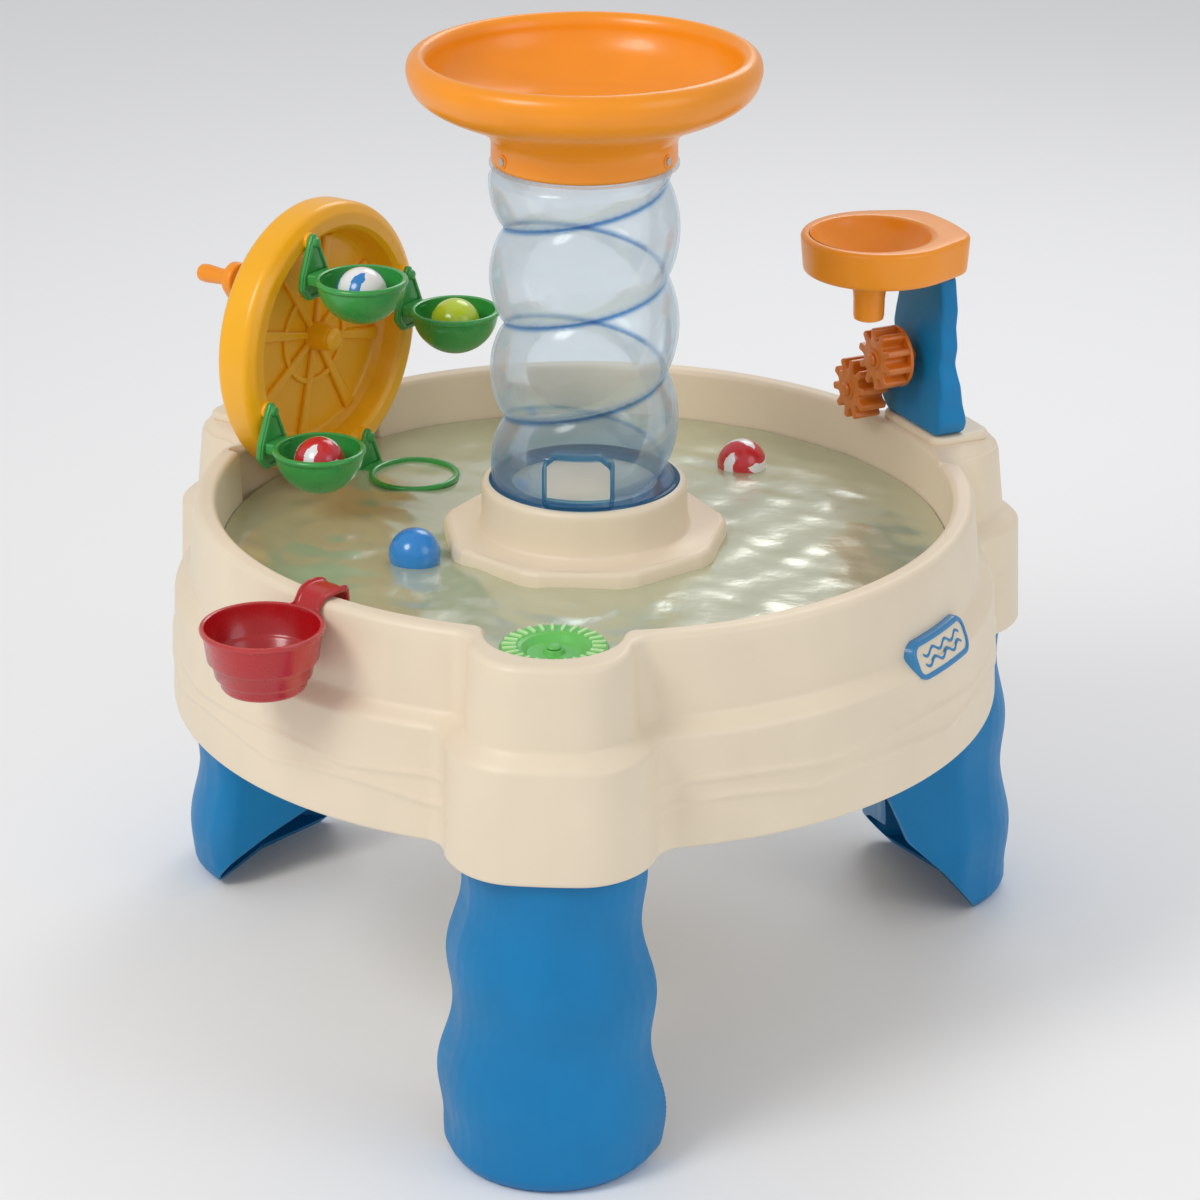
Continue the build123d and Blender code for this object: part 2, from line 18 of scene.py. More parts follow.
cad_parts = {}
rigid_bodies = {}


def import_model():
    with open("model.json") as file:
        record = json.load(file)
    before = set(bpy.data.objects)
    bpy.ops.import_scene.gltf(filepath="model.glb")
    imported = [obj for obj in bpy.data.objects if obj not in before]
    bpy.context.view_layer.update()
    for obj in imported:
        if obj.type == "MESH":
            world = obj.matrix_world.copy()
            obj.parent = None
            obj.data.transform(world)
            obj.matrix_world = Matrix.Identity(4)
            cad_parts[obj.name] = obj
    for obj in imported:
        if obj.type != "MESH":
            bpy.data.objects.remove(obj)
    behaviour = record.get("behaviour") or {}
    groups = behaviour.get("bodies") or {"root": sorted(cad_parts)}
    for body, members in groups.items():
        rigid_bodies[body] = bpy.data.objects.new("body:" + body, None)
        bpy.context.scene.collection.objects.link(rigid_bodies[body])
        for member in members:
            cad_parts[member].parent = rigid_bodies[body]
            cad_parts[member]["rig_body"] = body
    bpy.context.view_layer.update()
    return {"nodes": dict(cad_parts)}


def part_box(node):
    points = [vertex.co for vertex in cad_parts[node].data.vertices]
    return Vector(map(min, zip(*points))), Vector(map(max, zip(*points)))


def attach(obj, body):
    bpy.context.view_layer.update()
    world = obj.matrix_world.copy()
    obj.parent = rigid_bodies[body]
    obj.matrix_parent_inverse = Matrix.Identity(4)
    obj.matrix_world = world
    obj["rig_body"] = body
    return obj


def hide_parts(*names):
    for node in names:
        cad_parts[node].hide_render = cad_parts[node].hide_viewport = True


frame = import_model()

MM = 0.001
tower_low, tower_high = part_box("tower_tube")
TOWER_Y = (tower_low.y + tower_high.y) / 2.0
FRONT, RIGHT, LEFT = -90.0, 30.0, 150.0      # azimuths of the lobes, in degrees
SPINNER_CENTRE = (0, -360)                   # (x, y) in the front lobe


# ------------------------------------------------------------------ outlines and curves
def smoothstep(value, start, end):
    w = np.clip((np.asarray(value, float) - start) / (end - start), 0, 1)
    return w * w * (3 - 2 * w)


def quarter(steps, first=1):
    """Angles of a quarter circle, from step `first` to the full 90 degrees."""
    return [k / steps * pi / 2 for k in range(first, steps + 1)]


def full_turn(count):
    return np.linspace(0, 2 * pi, count, endpoint=False)


def rounded(points, radius, step=7.0):
    """Closed 2D polygon with rounded corners. radius: one number, or one per corner."""
    points = [np.array(p, float) for p in points]
    count = len(points)
    radii = [radius] * count if np.isscalar(radius) else radius
    result = []
    for i, corner in enumerate(points):
        to_prev = points[i - 1] - corner
        to_next = points[(i + 1) % count] - corner
        prev_length, next_length = np.linalg.norm(to_prev), np.linalg.norm(to_next)
        to_prev, to_next = to_prev / prev_length, to_next / next_length
        angle = math.acos(float(np.clip(to_prev @ to_next, -1, 1)))
        if radii[i] <= 0.01 or angle > pi - 0.02:
            result.append(corner)
            continue
        half_tan = math.tan(angle / 2)
        cut = min(radii[i] / half_tan, 0.48 * prev_length, 0.48 * next_length)
        bisector = (to_prev + to_next) / np.linalg.norm(to_prev + to_next)
        centre = corner + bisector * (cut * half_tan / sin(angle / 2))
        start = corner + to_prev * cut - centre
        end = corner + to_next * cut - centre
        sweep = pi - angle
        steps = max(2, int(math.degrees(sweep) / step) + 1)
        for k in range(steps + 1):
            w = k / steps
            arm = start * sin((1 - w) * sweep) + end * sin(w * sweep)
            result.append(centre + arm / sin(sweep))
    return np.array(result)


def resample(points, count, closed=True):
    """Points spread evenly by length."""
    points = np.asarray(points, float)
    if closed:
        points = np.concatenate([points, points[:1]])
    length = np.r_[0, np.cumsum(np.linalg.norm(np.diff(points, axis=0), axis=1))]
    wanted = np.linspace(0, length[-1], count, endpoint=not closed)
    return np.stack([np.interp(wanted, length, column) for column in points.T], 1)


def spline(points, steps):
    """Catmull-Rom curve from the second point up to, but without, the last but one."""
    result = []
    for p0, p1, p2, p3 in zip(points, points[1:], points[2:], points[3:]):
        for k in range(steps):
            w = k / steps
            result.append(0.5 * (2 * p1 + (p2 - p0) * w
                                 + (2 * p0 - 5 * p1 + 4 * p2 - p3) * w ** 2
                                 + (3 * p1 - p0 - 3 * p2 + p3) * w ** 3))
    return np.array(result)


def counter_clockwise(outline):
    outline = np.asarray(outline, float)
    x, y = outline.T
    area = np.sum(x * np.roll(y, -1) - np.roll(x, -1) * y)
    return outline if area > 0 else outline[::-1]


def inset(outline, distance):
    """Moves each point of a closed counter-clockwise outline inward."""
    tangent = np.roll(outline, -1, 0) - np.roll(outline, 1, 0)
    tangent /= np.maximum(np.linalg.norm(tangent, axis=1), 1e-9)[:, None]
    return outline + np.stack([-tangent[:, 1], tangent[:, 0]], 1) * distance


# Distance fields are negative inside. They describe plan outlines.
def round_union(a, b, radius):
    return (np.maximum(radius, np.minimum(a, b))
            - np.hypot(np.maximum(radius - a, 0), np.maximum(radius - b, 0)))


def round_intersection(a, b, radius):
    return (np.minimum(-radius, np.maximum(a, b))
            + np.hypot(np.maximum(radius + a, 0), np.maximum(radius + b, 0)))


def solve(field, angles, target=0.0, centre_x=0.0, near=230.0, far=520.0):
    """Radius at each angle where the field reaches the target, found by halving."""
    near, far = np.full(len(angles), near), np.full(len(angles), far)
    for _ in range(34):
        middle = (near + far) / 2
        inside = field(centre_x + middle * np.cos(angles), middle * np.sin(angles)) - target < 0
        near = np.where(inside, middle, near)
        far = np.where(inside, far, middle)
    return (near + far) / 2


# ------------------------------------------------------------------ mesh parts
# A part is (vertices, faces) or (vertices, faces, material index).
def turned(points, azimuth):
    angle = radians(azimuth)
    x, y, z = np.moveaxis(np.asarray(points, float), -1, 0)
    return np.stack([x * cos(angle) - y * sin(angle), x * sin(angle) + y * cos(angle), z], -1)


def grid(rings, cap=None):
    """Skin over rings (rings, points, 3), closed along the points. cap: 'fan' or 'ngon'."""
    rings = np.asarray(rings, float)
    ring_count, count = rings.shape[:2]
    verts = rings.reshape(-1, 3)
    here = np.arange(count)
    after = (here + 1) % count
    faces = []
    for j in range(ring_count - 1):
        low = j * count
        high = low + count
        faces += list(zip(low + here, low + after, high + after, high + here))
    if cap:
        for row in (0, ring_count - 1):
            start = row * count
            if cap == "ngon":
                faces.append(tuple(start + here))
            else:
                centre = len(verts)
                verts = np.concatenate([verts, [rings[row].mean(0)]])
                faces += list(zip(start + here, start + after, [centre] * count))
    return verts, faces


def torus_grid(rings):
    """Skin over rings, closed both ways."""
    rings = np.asarray(rings, float)
    return grid(np.concatenate([rings, rings[:1]]))


def revolved(profile, count, place, caps):
    angles = full_turn(count)
    rings = [place(radius * np.cos(angles), radius * np.sin(angles), np.full(count, along))
             for radius, along in np.asarray(profile, float)]
    return grid(rings, "fan") if caps else torus_grid(rings)


def spun(profile, count, centre=(0, 0), caps=False):
    """(radius, z) profile about a vertical axis. Without caps the profile is a closed loop."""
    def place(u, v, w):
        return np.stack([centre[0] + u, centre[1] + v, w], 1)
    return revolved(profile, count, place, caps)


def spun_out(profile, count, t, z, caps=False):
    """(radius, r) profile about the outward axis at (t, z)."""
    def place(u, v, w):
        return np.stack([w, t + u, z + v], 1)
    return revolved(profile, count, place, caps)


def upright(u, v, w):
    """Outline in (t, z), thickness along r."""
    return np.stack([w, u, v], 1)


def flat(u, v, w):
    """Outline in (r, t), thickness along z."""
    return np.stack([u, v, w], 1)


def inset_rings(outline, stations, place):
    """One ring of the outline per (inset, depth) station."""
    outline = counter_clockwise(outline)
    rings = []
    for distance, depth in stations:
        u, v = inset(outline, distance).T
        rings.append(place(u, v, np.full(len(u), depth)))
    return np.array(rings)


def slab(outline, low, high, bevel, place, steps=4):
    """Prism with rounded edges. low and high: numbers, or functions of the outline's v."""
    outline = counter_clockwise(outline)
    arc = quarter(steps, first=0)
    rings = []
    for side, sign, angles in ((low, 1, arc), (high, -1, arc[::-1])):
        for angle in angles:
            u, v = inset(outline, bevel * (1 - sin(angle))).T
            level = side(v) if callable(side) else side
            depth = np.full(len(u), level + sign * bevel * (1 - cos(angle)))
            rings.append(place(u, v, depth))
    return grid(rings, "ngon")


def add(name, parts, paint, slot, replaces=None, body="table", sharp=38.0, azimuth=0.0):
    """One mesh object that rides on a body. paint: a key of MATERIALS, or several."""
    all_verts, all_faces, face_materials = [], [], []
    offset = 0
    for verts, faces, *index in parts:
        all_verts.append(turned(verts, azimuth))
        all_faces += [tuple(int(i) + offset for i in face) for face in faces]
        face_materials += (index or [0]) * len(faces)
        offset += len(verts)
    verts = np.concatenate(all_verts) * MM
    verts[:, 1] += TOWER_Y
    mesh = bpy.data.meshes.new(name)
    mesh.from_pydata(verts.tolist(), [], all_faces)
    mesh.validate()
    # validate() may drop faces, and then the indices no longer line up
    if len(mesh.polygons) == len(face_materials):
        mesh.polygons.foreach_set("material_index", face_materials)
    work = bmesh.new()
    work.from_mesh(mesh)
    bmesh.ops.remove_doubles(work, verts=work.verts, dist=1e-6)
    bmesh.ops.dissolve_degenerate(work, edges=work.edges, dist=1e-7)
    bmesh.ops.recalc_face_normals(work, faces=work.faces)
    work.to_mesh(mesh)
    work.free()
    smooth(mesh, sharp)
    obj = bpy.data.objects.new(name, mesh)
    bpy.context.scene.collection.objects.link(obj)
    for key in ([paint] if isinstance(paint, str) else paint):
        mesh.materials.append(MATERIALS[key])
    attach(obj, body)
    if replaces:
        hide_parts(replaces)
    return obj


def smooth(mesh, sharp):
    """Smooth shading with sharp edges above an angle in degrees."""
    mesh.polygons.foreach_set("use_smooth", [True] * len(mesh.polygons))
    mesh.set_sharp_from_angle(angle=radians(sharp))


# ------------------------------------------------------------------ materials
class Graph:
    """A new, empty material with short calls that add nodes. Inputs are values or sockets."""

    def __init__(self, name):
        self.material = bpy.data.materials.new(name)
        self.material.use_nodes = True
        self.tree = self.material.node_tree
        self.tree.nodes.clear()

    def add(self, kind, inputs=None, **settings):
        node = self.tree.nodes.new("ShaderNode" + kind)
        for name, value in settings.items():
            setattr(node, name, value)
        for socket, value in (inputs or {}).items():
            if isinstance(value, bpy.types.NodeSocket):
                self.tree.links.new(value, node.inputs[socket])
            else:
                node.inputs[socket].default_value = value
        return node

    def object_coords(self):
        return self.add("TexCoord").outputs["Object"]

    def noise(self, vector, scale, **inputs):
        return self.add("TexNoise", {"Vector": vector, "Scale": scale, **inputs}).outputs["Fac"]

    def map_range(self, value, **ends):
        """ends: from_min, from_max, to_min, to_max."""
        inputs = {key.replace("_", " ").title(): end for key, end in ends.items()}
        return self.add("MapRange", {"Value": value, **inputs}).outputs[0]

    def ramp(self, factor, colors, positions=(0.0, 1.0)):
        node = self.add("ValToRGB", {0: factor})
        for element, color, position in zip(node.color_ramp.elements, colors, positions):
            element.position = position
            element.color = (*color, 1)
        return node.outputs[0]

    def mix_color(self, factor, first, second):
        inputs = {"Factor": factor, "A": first, "B": second}
        return self.add("Mix", inputs, data_type="RGBA").outputs["Result"]

    def math(self, operation, *values):
        return self.add("Math", dict(enumerate(values)), operation=operation).outputs[0]

    def mix_shader(self, factor, first, second):
        return self.add("MixShader", {0: factor, 1: first, 2: second}).outputs[0]

    def bump(self, height, strength, distance, **inputs):
        inputs = {"Height": height, "Strength": strength, "Distance": distance, **inputs}
        return self.add("Bump", inputs).outputs[0]

    def finish(self, shader):
        self.add("OutputMaterial", {0: shader})
        return self.material


def plastic(name, color, roughness, grain_scale, grain, variation, coat=0.0, specular=0.5,
            streak=0.0):
    """Moulded plastic: cloudy pigment, fine texture, uneven gloss and painted highlights on
    edges.
    """
    graph = Graph(name)
    coords = graph.object_coords()
    color = np.array(color)
    cloud = graph.noise(coords, scale=9.0, Detail=5.0)
    shades = (color * (1 - variation), np.minimum(color * (1 + variation), 1.0))
    tone = graph.ramp(cloud, shades, positions=(0.32, 0.68))
    # painted highlight: a lighter colour mixed in on sharp convex edges, found by pointiness
    edge = graph.map_range(graph.add("NewGeometry").outputs["Pointiness"],
                           from_min=0.52, from_max=0.62, to_max=0.22)
    tone = graph.mix_color(edge, tone, (*np.minimum(color * 0.72 + 0.28, 1.0), 1))
    if streak > 0:
        # darker upright streaks
        stretched = graph.add("Mapping", {0: coords, "Scale": (14, 14, 1.6)}).outputs[0]
        amount = graph.map_range(graph.noise(stretched, scale=2.0, Detail=6.0),
                                 from_min=0.45, from_max=0.75, to_max=streak)
        tone = graph.mix_color(amount, tone, (*(color * 0.82), 1))
    scuffs = graph.noise(coords, scale=60.0, Detail=8.0, Roughness=0.7)
    gloss = graph.map_range(scuffs, from_min=0.3, from_max=0.75,
                            to_min=roughness * 0.875, to_max=roughness * 1.25)
    # fine moulded grain over a slow ripple
    fine = graph.bump(graph.noise(coords, grain_scale, Detail=3.0), grain, distance=0.0006)
    relief = graph.bump(graph.noise(coords, scale=22.0), strength=0.12, distance=0.004,
                        Normal=fine)
    shader = graph.add("BsdfPrincipled", {
        "Base Color": tone, "Roughness": gloss, "Normal": relief, "IOR": 1.5,
        "Specular IOR Level": specular, "Coat Weight": coat, "Coat Roughness": 0.12})
    return graph.finish(shader.outputs[0])


def clear_plastic(name, tint, deep, gloss, haze, edge_power, groove=None):
    """Thin clear plastic: tint face on, the deep colour and more haze towards grazing.

    groove: colour mixed in by the mesh attribute "groove".
    """
    graph = Graph(name)
    coords = graph.object_coords()
    tint, deep = (*tint, 1), (*deep, 1)
    facing = graph.add("LayerWeight", {"Blend": 0.35}).outputs["Facing"]
    edge = graph.math("POWER", facing, edge_power)
    tone = graph.mix_color(edge, tint, deep)
    if groove is not None:
        attribute = graph.add("Attribute", attribute_name="groove").outputs["Fac"]
        tone = graph.mix_color(attribute, tone, (*groove, 1))
    noise = graph.noise(coords, scale=26.0, Detail=4.0)
    relief = graph.bump(noise, strength=0.25, distance=0.003)
    see_through = graph.add("BsdfTransparent", {0: tone}).outputs[0]
    roughness = graph.map_range(noise, to_min=gloss, to_max=gloss * 2.6)
    skin = graph.add("BsdfGlossy", {"Color": (1, 1, 1, 1), "Roughness": roughness,
                                    "Normal": relief}).outputs[0]
    fresnel = graph.add("Fresnel", {"IOR": 1.5, "Normal": relief}).outputs[0]
    glossy = graph.mix_shader(graph.math("MULTIPLY", fresnel, 0.42), see_through, skin)
    cloudy = graph.mix_shader(0.5, graph.add("BsdfDiffuse", {"Color": deep}).outputs[0],
                              graph.add("BsdfTranslucent", {"Color": deep}).outputs[0])
    haze_amount = graph.math("MULTIPLY_ADD", edge, haze * 2.0, haze * 0.4)
    return graph.finish(graph.mix_shader(haze_amount, glossy, cloudy))


def metal(name, color):
    graph = Graph(name)
    noise = graph.noise(graph.object_coords(), scale=300.0, Detail=5.0)
    shader = graph.add("BsdfPrincipled", {
        "Metallic": 1.0,
        "Base Color": graph.ramp(noise, ([c * 0.75 for c in color], color)),
        "Roughness": graph.map_range(noise, to_min=0.22, to_max=0.5),
        "Normal": graph.bump(noise, strength=0.1, distance=0.0005)})
    return graph.finish(shader.outputs[0])


# key: name, colour, roughness, grain scale, grain strength, pigment variation, other settings
PLASTICS = {
    "cream": ("cream_moulded", (0.82, 0.70, 0.53), 0.42, 700, 0.07, 0.025, dict(streak=0.10)),
    "leg": ("leg_blue", (0.0015, 0.20, 0.47), 0.42, 520, 0.12, 0.08,
            dict(specular=0.32, streak=0.10)),
    "orange": ("funnel_orange", (0.94, 0.31, 0.004), 0.32, 800, 0.05, 0.05,
               dict(coat=0.15, streak=0.08)),
    "wheel": ("wheel_yellow_orange", (0.97, 0.46, 0.004), 0.30, 800, 0.05, 0.05,
              dict(coat=0.15)),
    "paddle": ("paddle_orange", (0.66, 0.17, 0.012), 0.30, 800, 0.05, 0.07, dict(coat=0.2)),
    "green": ("cup_green", (0.035, 0.33, 0.06), 0.28, 900, 0.04, 0.08, dict(coat=0.3)),
    "spin": ("spinner_green", (0.13, 0.52, 0.10), 0.30, 900, 0.05, 0.08, dict(coat=0.2)),
    # rib: a paler copy of the spinner green, a painted highlight on the lit tops of the ribs
    "rib": ("spinner_rib_painted_highlight", (0.50, 0.80, 0.38), 0.34, 900, 0.05, 0.05, {}),
    "red": ("scoop_red", (0.46, 0.004, 0.007), 0.27, 800, 0.04, 0.08, dict(coat=0.35)),
    "ball_white": ("ball_white_gloss", (0.86, 0.87, 0.88), 0.22, 900, 0.03, 0.03,
                   dict(coat=0.5)),
    "ball_blue": ("ball_blue_gloss", (0.015, 0.22, 0.60), 0.22, 900, 0.03, 0.05,
                  dict(coat=0.5)),
    "ball_green": ("ball_lime_gloss", (0.50, 0.66, 0.03), 0.22, 900, 0.03, 0.05,
                   dict(coat=0.5)),
    "ball_red": ("ball_red_gloss", (0.62, 0.02, 0.03), 0.22, 900, 0.03, 0.05, dict(coat=0.5)),
    "badge_trim": ("badge_trim_blue", (0.004, 0.20, 0.46), 0.30, 900, 0.03, 0.04,
                   dict(coat=0.3)),
    "badge_face": ("badge_cream_face", (0.80, 0.69, 0.53), 0.30, 900, 0.03, 0.03,
                   dict(coat=0.3)),
    "rubber": ("plug_rubber", (0.03, 0.03, 0.035), 0.6, 500, 0.15, 0.1, {}),
}
MATERIALS = {key: plastic(*values, **extra) for key, (*values, extra) in PLASTICS.items()}
MATERIALS["steel"] = metal("zinc_steel", color=(0.66, 0.66, 0.67))
MATERIALS["clear"] = clear_plastic(
    "tower_clear_blue", tint=(0.955, 0.978, 0.99), deep=(0.80, 0.90, 0.97), gloss=0.07,
    haze=0.19, edge_power=3.0, groove=(0.16, 0.42, 0.72))
MATERIALS["deep"] = clear_plastic(
    "tower_deep_blue", tint=(0.62, 0.83, 0.93), deep=(0.10, 0.36, 0.55), gloss=0.05,
    haze=0.22, edge_power=1.5)


# ------------------------------------------------------------------ basin
BASE_Z, SKIRT_TOP_Z, WALL_FOOT_Z, RIM_Z = 310.0, 415.0, 434.0, 508.0
UNDERSIDE_Z, FLOOR_Z = 366, 370
SHELF_Z = 438                     # the inner wall opens into a bay and a pocket above this
FLOOR_RADIUS, WALL_LEAN = 351.0, 6.0     # inner radius at the floor and its growth to the rim
SKIRT_THICKNESS = 4.0
LEDGE_Z = 470                     # faceted ledge under the tower
# Outer plan: (round radius, lobe reach, lobe half width, lobe corner radius)
SKIRT_FOOT = (405.0, 476.0, 97.0, 66.0)
SKIRT_TOP = (400.5, 471.5, 94.5, 64.0)
WALL_FOOT = (385.0, 456.5, 77.5, 54.0)
WALL_TOP = (378.5, 448.5, 73.5, 52.0)


def blend(first, second, w):
    return [p + (q - p) * w for p, q in zip(first, second)]


def outer_plan(z):
    if z <= SKIRT_TOP_Z:
        return blend(SKIRT_FOOT, SKIRT_TOP, (z - BASE_Z) / (SKIRT_TOP_Z - BASE_Z))
    if z >= WALL_FOOT_Z:
        return blend(WALL_FOOT, WALL_TOP, min(1.0, (z - WALL_FOOT_Z) / (RIM_Z - WALL_FOOT_Z)))
    return blend(SKIRT_TOP, WALL_FOOT, float(smoothstep(z, SKIRT_TOP_Z, WALL_FOOT_Z)))


def local(x, y, azimuth):
    """Plan point in the local frame of a lobe."""
    angle = radians(azimuth)
    return x * cos(angle) + y * sin(angle), -x * sin(angle) + y * cos(angle)


def outer_field(x, y, plan):
    round_radius, reach, half_width, corner = plan
    distance = np.hypot(x, y)
    field = distance - round_radius
    for azimuth in (FRONT, RIGHT, LEFT):
        r, t = local(x, y, azimuth)
        lobe = round_intersection(distance - reach, np.abs(t) - half_width, corner)
        field = round_union(field, np.maximum(lobe, 120 - r), 18.0)
    return field


def inner_radius(z):
    return FLOOR_RADIUS + WALL_LEAN * (z - FLOOR_Z) / (RIM_Z - FLOOR_Z)


def inner_field(x, y, z):
    field = np.hypot(x, y) - inner_radius(z)
    if z > SHELF_Z:
        r, t = local(x, y, FRONT)
        bay = np.hypot(r - 359.0, t) - 62.0
        field = round_union(field, bay, 11.0)
        r, t = local(x, y, LEFT)
        pocket = np.maximum(r - 350.0, np.maximum(np.abs(t) - 112.0, 250.0 - r))
        field = round_union(field, pocket, 3.0)
    return field


def basin_angles(count):
    """Angles spread by the length of the outlines, so the lobe sides get enough points."""
    fine = np.linspace(-pi, pi, 14401)
    density = np.zeros(14400)
    for field in (lambda x, y: outer_field(x, y, SKIRT_FOOT),
                  lambda x, y: outer_field(x, y, WALL_TOP),
                  lambda x, y: inner_field(x, y, 500.0)):
        r = solve(field, fine)
        points = np.stack([r * np.cos(fine), r * np.sin(fine)], 1)
        density = np.maximum(density, np.linalg.norm(np.diff(points, axis=0), axis=1))
    total = np.r_[0, np.cumsum(np.minimum(density, 6.0))]
    return np.interp(np.linspace(0, total[-1], count, endpoint=False), total, fine)


ANGLES = basin_angles(1500)


def outer_edge(z, inward=0.0):
    plan = outer_plan(z)
    return solve(lambda x, y: outer_field(x, y, plan), ANGLES, -inward)


def inner_edge(z, outward=0.0):
    return solve(lambda x, y: inner_field(x, y, z), ANGLES, outward)


def lobe_mask(azimuth, full, none):
    """1 within `full` degrees of the azimuth, 0 beyond `none` degrees."""
    away = np.degrees(np.abs((ANGLES - radians(azimuth) + pi) % (2 * pi) - pi))
    return 1 - smoothstep(away, full, none)


def wave_relief(z):
    """Raised wave lines on the skirt, between the lobes."""
    relief = np.zeros(len(ANGLES))
    # height of the arches, number of half waves, phase, middle z
    for height, waves, phase, middle in ((9.0, 14, 0.4, 352.0), (7.0, 11, 1.9, 372.0)):
        line = middle + height * np.abs(np.sin(ANGLES * waves / 2 + phase)) - height / 2
        relief += 1.9 * np.exp(-((z - line) / 3.2) ** 2)
    keep = 1 - sum(lobe_mask(azimuth, 10.5, 13) for azimuth in (FRONT, RIGHT, LEFT))
    return relief * np.clip(keep, 0, 1)


# The basin is one skin over levels (radius, z). Either may be an array over ANGLES.
def underside_levels():
    """From the centre outward and down the inside of the skirt."""
    levels = [(r, UNDERSIDE_Z) for r in (6, 90, 200, 322)] + [(330, 363), (333, 353)]
    top = outer_edge(352.0, SKIRT_THICKNESS)
    levels += [(337 + (top - 10 - 337) * w, 352) for w in (0.0, 0.25, 0.5, 0.75)]
    levels += [(top - 4, 352), (top - 1, 350)]
    levels += [(outer_edge(z, SKIRT_THICKNESS), z) for z in (346, 335, 322, 312)]
    base = outer_edge(BASE_Z)
    return levels + [(base - 3.4, BASE_Z), (base - 1.6, 310.1), (base - 0.4, 311.2)]


def outer_levels():
    """Skirt, shoulder and upper wall."""
    heights = np.r_[np.arange(313, 403, 2.25), np.arange(403, 446, 1.9), np.arange(446, 496, 5.0)]
    return [(outer_edge(z) + wave_relief(z), z) for z in heights]


def rim_levels():
    """Small rounding all round, bigger on the closed side lobes."""
    side_lobes = np.maximum(lobe_mask(RIGHT, 14.5, 17.5), lobe_mask(LEFT, 14.5, 17.5))
    rounding = 7.5 + 12.5 * side_lobes
    levels = []
    for k, angle in enumerate(quarter(7), 1):
        r = outer_edge(RIM_Z, rounding * (1 - cos(angle)))
        z = np.maximum(RIM_Z - rounding + rounding * sin(angle), 496.0 + 12.0 * k / 7 * 0.2)
        levels.append((r + (1 - sin(angle)) * 0.3, z))
    inner_rounding = 6.0
    outer = outer_edge(RIM_Z, rounding)
    inner = np.minimum(inner_edge(507.0, inner_rounding), outer - 1.5)
    levels += [(outer + (inner - outer) * w, RIM_Z) for w in np.linspace(0.08, 1.0, 12)]
    for k, angle in enumerate(quarter(6), 1):
        r = inner_edge(507.0, inner_rounding * (1 - sin(angle)))
        levels.append((np.minimum(r, inner - 0.2 * k),
                       RIM_Z - inner_rounding * (1 - cos(angle))))
    return levels


def inside_levels():
    """Inner wall, the shelf of the bay and the pocket, and the floor."""
    levels = [(inner_edge(z), z) for z in np.arange(497, 446, -5.0)]
    recess = inner_edge(442.0)
    mask = np.clip((recess - inner_radius(440.0) - 1.0) / 8.0, 0, 1)     # 1 on the shelf
    shelf = recess - 5.0 * mask
    wall = inner_radius(434.0)
    levels += [(recess - 1.0 * mask, 444.5), (shelf, 440.5)]
    levels += [(shelf + (wall + 3.0 - shelf) * w * mask, 440.4 - 2.2 * w * (1 - mask))
               for w in (0.33, 0.66)]
    levels += [(wall + 3.5 * mask, 438.0 + 2.2 * mask), (wall + 0.5 * mask, 434.0 + 3.0 * mask),
               (wall - 0.3, 431.0)]
    levels += [(inner_radius(z), z) for z in (418, 404, 392, 384)]
    levels += [(351.4 - 12 * (1 - cos(a)), 382 - 12 * sin(a)) for a in quarter(5)]
    return levels + [(r, FLOOR_Z) for r in (320, 290, 250, 210, 180)]


def pedestal_levels():
    """Ledge with nine flat facets, then the round pedestal with a sunk top."""
    half_facet = pi / 9
    across = (ANGLES - radians(-68.0)) % (2 * half_facet) - half_facet
    ledge = np.minimum(134.0 / np.cos(across), 139.5)
    ledge = ledge * 0.75 + np.roll(ledge, 3) * 0.125 + np.roll(ledge, -3) * 0.125
    levels = [(ledge + 12, 370.3), (ledge + 5, 372), (ledge + 3, 378), (ledge + 2, 420),
              (ledge + 0.5, 458)]
    levels += [(ledge - 7 * (1 - cos(a)), LEDGE_Z - 7 + 7 * sin(a)) for a in quarter(5)]
    levels += [(ledge * 0.5 + 62, LEDGE_Z), (105.5, 470.2), (102.6, 471.4), (101.4, 474)]
    levels += [(100.8 - 0.02 * (z - 474), z) for z in (485, 500, 508)]
    levels += [(100 - 7 * (1 - cos(a)), 510 + 7 * sin(a)) for a in quarter(5)]
    return levels + [(92.9, 516.6), (92.6, 511.2), (60, 511), (20, 511)]


def basin():
    levels = (underside_levels() + outer_levels() + rim_levels() + inside_levels()
              + pedestal_levels())
    rings = [np.stack([r * np.cos(ANGLES), r * np.sin(ANGLES), z + np.zeros(len(ANGLES))], 1)
             for r, z in levels]
    add("basin_shell", [grid(rings, "fan")], "cream", "basin", "basin", sharp=50)
    seat = rounded([(361.5, -57), (429, -54), (429, 54), (361.5, 57)], 15)
    for name, azimuth in (("post_seat_right", RIGHT), ("post_seat_left", LEFT)):
        add(name, [slab(resample(seat, 160), 506.0, 515.7, 4.0, flat, steps=5)],
            "cream", "basin", azimuth=azimuth)
    boss = rounded([(3.2, 438), (12.5, 438), (11.8, 480), (3.2, 480)], 1.2)
    add("spinner_boss", [spun(boss, 48, SPINNER_CENTRE)], "cream", "basin")


# ------------------------------------------------------------------ legs
LEG_TOP_Z = 350.0
LEG_WALL = 4.0
LEG_SIDE_R = 385.0                # where the side walls meet the rounded outer wall
# Slanted back of the leg: (z, r)
LEG_BACK = np.array([(0, 409), (6, 404), (52, 366), (96, 322), (146, 305), (200, 290),
                     (350, 290)], float)


